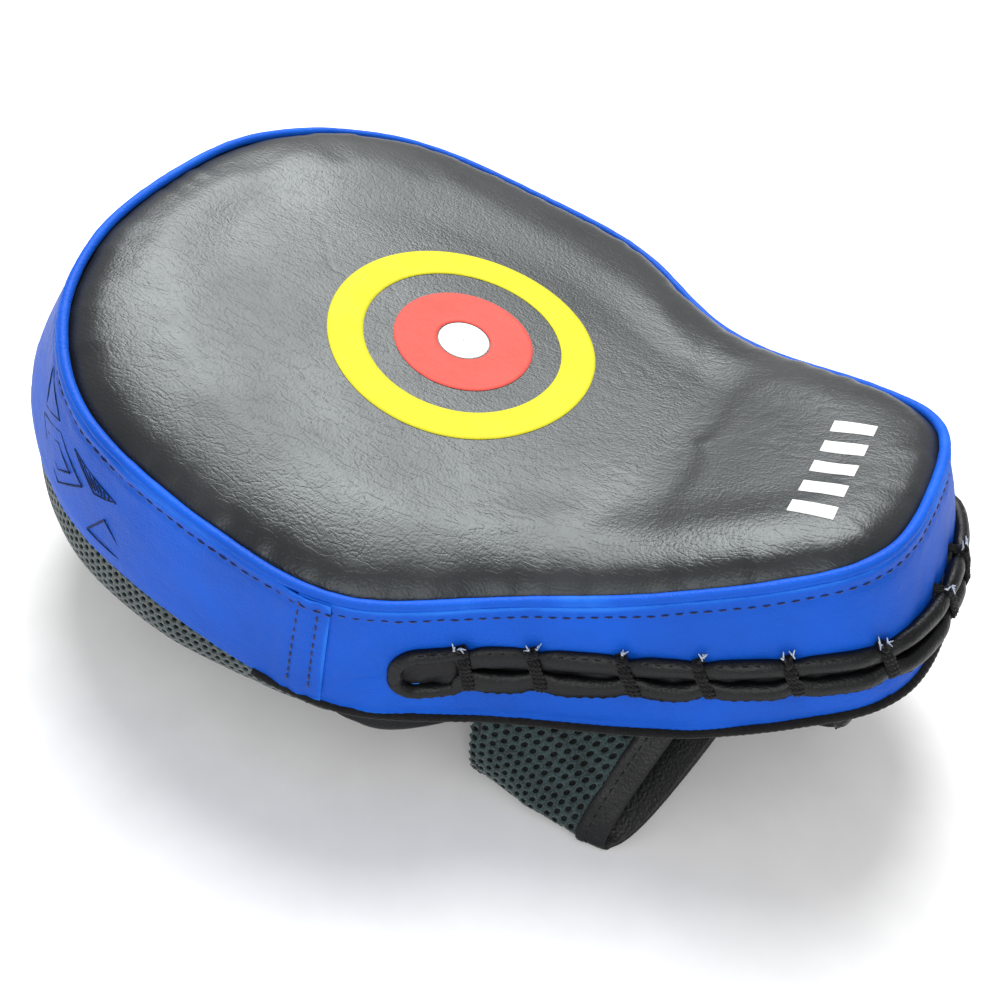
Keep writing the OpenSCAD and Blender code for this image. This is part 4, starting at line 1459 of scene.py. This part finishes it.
def palm_ball():
    """A stuffed dome of six gores, sewn down round its rim."""
    sphere = (BALL_RADIUS**2 + BALL_DEPTH**2) / (2 * BALL_DEPTH)
    top = np.arcsin(BALL_RADIUS / sphere)
    t = np.linspace(0, 1, 46)[:, None]
    a = np.linspace(0, 2 * np.pi, 180, endpoint=False)[None]
    r = sphere * np.sin(top * t)
    z = -(sphere * np.cos(top * t) - (sphere - BALL_DEPTH))
    gore = np.abs(((a / (np.pi / 3)) % 1) - 0.5) * 2
    seam = -0.9 * np.exp(-((1 - gore) * r / 2.0) ** 2) * eased(t, 0.06, 0.2) * (1 - eased(t, 0.9, 1.0))
    puckers = 0.5 * noise(a * 31, t * 20, 4.5, 121) * eased(t, 0.7, 0.98)
    out = seam + puckers + 0.35 * noise(r * np.cos(a), r * np.sin(a), 12, 131)
    out = out * (1 - 0.4 * eased(t, 0.97, 1.0)) - 0.2
    k = 1 + out / sphere
    p = back_frame(BALL_STATION, r * np.cos(a) * k, r * np.sin(a) * k, z * k)
    o = piece("palm_ball_shell", *loft(p[1:]), BACK_PU, replaces=["palm_ball_cover"], slot="back_cloth",
              outside=True)
    edge = back_frame(BALL_STATION, BALL_WELT * np.cos(a[0]), BALL_WELT * np.sin(a[0]), -0.6)
    cord = tube(edge, 1.1, up=np.broadcast_to((0, 0, 1.0), edge.shape), sides=8, closed=True)
    piece("palm_ball_welt", *cord, TRIM_PU, slot="trim_pu", outside=True)


STRAP_STATION = 218.0
STRAP_HALF = 18.0
STRAP_THICK = 2.0
STRAP_RADIUS = 30.0
PATCH = 1.0
FLAP_RADIUS = STRAP_RADIUS + STRAP_THICK + 2 * PATCH + 0.3
HINGE_DROP = 2.9
TAB_LENGTH = 12.0
TAB_HALF_THICK = 0.65
FLAP_ANGLE = float(np.degrees(np.arccos(HINGE_DROP / (FLAP_RADIUS + STRAP_THICK / 2))))
# Inner radius, thickness, half width, first and last angle of each band of the strap.
ANCHOR = (STRAP_RADIUS, STRAP_THICK, STRAP_HALF, -88, 20)
LOOP_PATCH = (STRAP_RADIUS + STRAP_THICK, PATCH, STRAP_HALF - 2, -45, 20)
FLAP = (FLAP_RADIUS, STRAP_THICK, STRAP_HALF, -45, FLAP_ANGLE + 4)
HOOK_PATCH = (FLAP_RADIUS - PATCH, PATCH, STRAP_HALF - 2, -44, 20)


def strap_band(radius, thick, half, first, last, rounded=0.5, ends=0.0):
    """(points, faces) of a band bent round the wrist, with rounded edges; angle 0 is straight down."""
    a = np.radians(np.linspace(first, last, max(24, int((last - first) / 1.5))))
    k = np.linspace(0, 2 * np.pi, 28, endpoint=False)
    x = (half - rounded) * power_of(np.cos(k), 0.25) + rounded * np.cos(k)
    z = (thick / 2) * power_of(np.sin(k), 0.55)
    narrow = 1 - ends * bump((a - a[0]) / (a[-1] - a[0]), 0.035) if ends else np.ones_like(a)
    r = radius + thick / 2 + z[None] + 0 * a[:, None]
    w = x[None] * narrow[:, None]
    p = back_frame(STRAP_STATION, w, r * np.sin(a)[:, None], -r * np.cos(a)[:, None])
    return loft(p)


def strap_stitches(radius, first, last, rows):
    parts = []
    a = np.radians(np.linspace(first, last, 80))
    out = back_frame(STRAP_STATION, 0, np.sin(a), -np.cos(a)) - back_frame(STRAP_STATION, 0, 0 * a, 0 * a)
    for x in rows:
        p = back_frame(STRAP_STATION, x, radius * np.sin(a), -radius * np.cos(a))
        parts.append(stitches(p, out, pitch=3.0, length=2.1, radius=0.26))
    return parts


def hinge_side(beyond):
    """A point on the flap's middle line, some radians past the hinge."""
    r = FLAP_RADIUS + STRAP_THICK / 2
    a = np.radians(FLAP_ANGLE) + beyond
    return tuple(back_frame(STRAP_STATION, 0, r * np.sin(a), -r * np.cos(a)) * MM)


def wrist_strap():
    anchor = piece("wrist_strap_anchor", *strap_band(*ANCHOR), STRAP_TAPE, replaces=["strap_anchor"],
                   slot="strap_cloth", outside=True)
    loops = piece("wrist_strap_loops", *strap_band(*LOOP_PATCH, 0.3), LOOPS, replaces=["strap_loop_patch"],
                  slot="loop_pile", outside=True)
    flap = piece("wrist_strap_flap", *strap_band(*FLAP, ends=0.12), STRAP_TAPE, None, ["strap_flap"],
                 "strap_cloth", outside=True)
    hooks = piece("wrist_strap_hooks", *strap_band(*HOOK_PATCH, 0.3), HOOKS, "flap", ["strap_hook_patch"],
                  "hook_pile", outside=True)
    hinge_side(0.09)
    hinge_side(-0.14)
    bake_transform(flap)
    edge = strap_stitches(FLAP_RADIUS + STRAP_THICK, -43, 70, (-STRAP_HALF + 1.8, STRAP_HALF - 1.8))
    piece("wrist_strap_stitches", *merged(edge), BLACK_THREAD, "flap", slot="thread")
    seam_tab()


def seam_tab():
    """The sewn end of the flap: a folded tab with a crossed box of stitches."""
    y0 = FLAP_RADIUS + STRAP_THICK * 1.5 - TAB_LENGTH
    y = np.linspace(y0, y0 + TAB_LENGTH, 14)
    k = np.linspace(0, 2 * np.pi, 28, endpoint=False)
    x = STRAP_HALF * power_of(np.cos(k), 0.2)
    z = TAB_HALF_THICK * (power_of(np.sin(k), 0.5) - 1)
    p = back_frame(STRAP_STATION, x[None], y[:, None], z[None])
    piece("wrist_strap_tab", *loft(p), STRAP_TAPE, replaces=["strap_seam_tab"], slot="strap_cloth",
          outside=True)
    down = back_frame(STRAP_STATION, 0, 0, -1.0) - back_frame(STRAP_STATION, 0, 0, 0)
    h = STRAP_HALF - 2.5
    corners = [(-h, y0 + 2), (h, y0 + 2), (h, y0 + 8), (-h, y0 + 8), (-h, y0 + 2)]
    lines = list(zip(corners, corners[1:])) + [(corners[0], corners[2]), (corners[1], corners[3])]
    parts = []
    for (x0, a0), (x1, a1) in lines:
        t = np.linspace(0, 1, 30)
        path = back_frame(STRAP_STATION, x0 + (x1 - x0) * t, a0 + (a1 - a0) * t, -2 * TAB_HALF_THICK - 0.02)
        parts.append(stitches(path, np.broadcast_to(down, path.shape), pitch=2.8, length=2.0, radius=0.26))
    piece("wrist_strap_tab_stitches", *merged(parts), BLACK_THREAD, slot="thread")


# ---- stage ----

def area_light(name, place, aim, size, power):
    light = bpy.data.lights.new(name, "AREA")
    light.shape = "DISK"
    light.size = size
    light.energy = power
    o = bpy.data.objects.new(name, light)
    o.location = place
    o.rotation_mode = "QUATERNION"
    o.rotation_quaternion = (Vector(aim) - Vector(place)).to_track_quat("-Z", "Y")
    bpy.context.scene.collection.objects.link(o)


def stage():
    world = bpy.data.worlds.new("studio")
    bpy.context.scene.world = world
    world.use_nodes = True
    world.node_tree.nodes["Background"].inputs["Color"].default_value = (1, 1, 1, 1)
    world.node_tree.nodes["Background"].inputs["Strength"].default_value = 0.55
    area_light("key", (-0.36, 0.63, 1.18), (-0.02, 0, 0.07), 0.85, 25)
    area_light("front", (0.35, -0.95, 0.75), (0, 0, 0.05), 0.8, 6)
    floor = Shader("paper", (0.9, 0.9, 0.9), 0.9)
    floor.colour(floor.noise(60), (0.3, grey(0.88)), (0.7, grey(0.92)))
    floor.roughness(floor.noise(200), 0.85, 0.95)
    side = 4000
    corners = np.array([(-side, -side, 0), (side, -side, 0), (side, side, 0), (-side, side, 0)], float)
    o = piece("floor", corners, [[0, 1, 2, 3]], floor.material, None)
    bpy.context.scene.view_settings.view_transform = "Standard"


def camera():
    data = bpy.data.cameras.new("camera")
    data.sensor_width = 36
    data.lens = 43.17
    o = bpy.data.objects.new("camera", data)
    right, up = Vector((0.879, 0.473, 0.066)).normalized(), Vector((-0.371, 0.590, 0.717))
    back = right.cross(up).normalized()
    up = back.cross(right)
    turn = Matrix((right, up, back)).transposed().to_4x4()
    o.matrix_world = Matrix.Translation((0.1233, -0.2595, 0.3048)) @ turn
    bpy.context.scene.collection.objects.link(o)
    bpy.context.scene.camera = o


camera()
stage()
carry_over()
foam_block()
face_prints(strike_face())
finger_band()
wrist_band()
band_stitches()
band_lines()
rim_piping()
back_binding()
slit_lips()
slit_lining()
lacing()
finger_hood()
finger_hood_hem()
thumb_hood()
thumb_end()
thumb_binding()
thumb_web()
back_panel()
palm_ball()
wrist_strap()
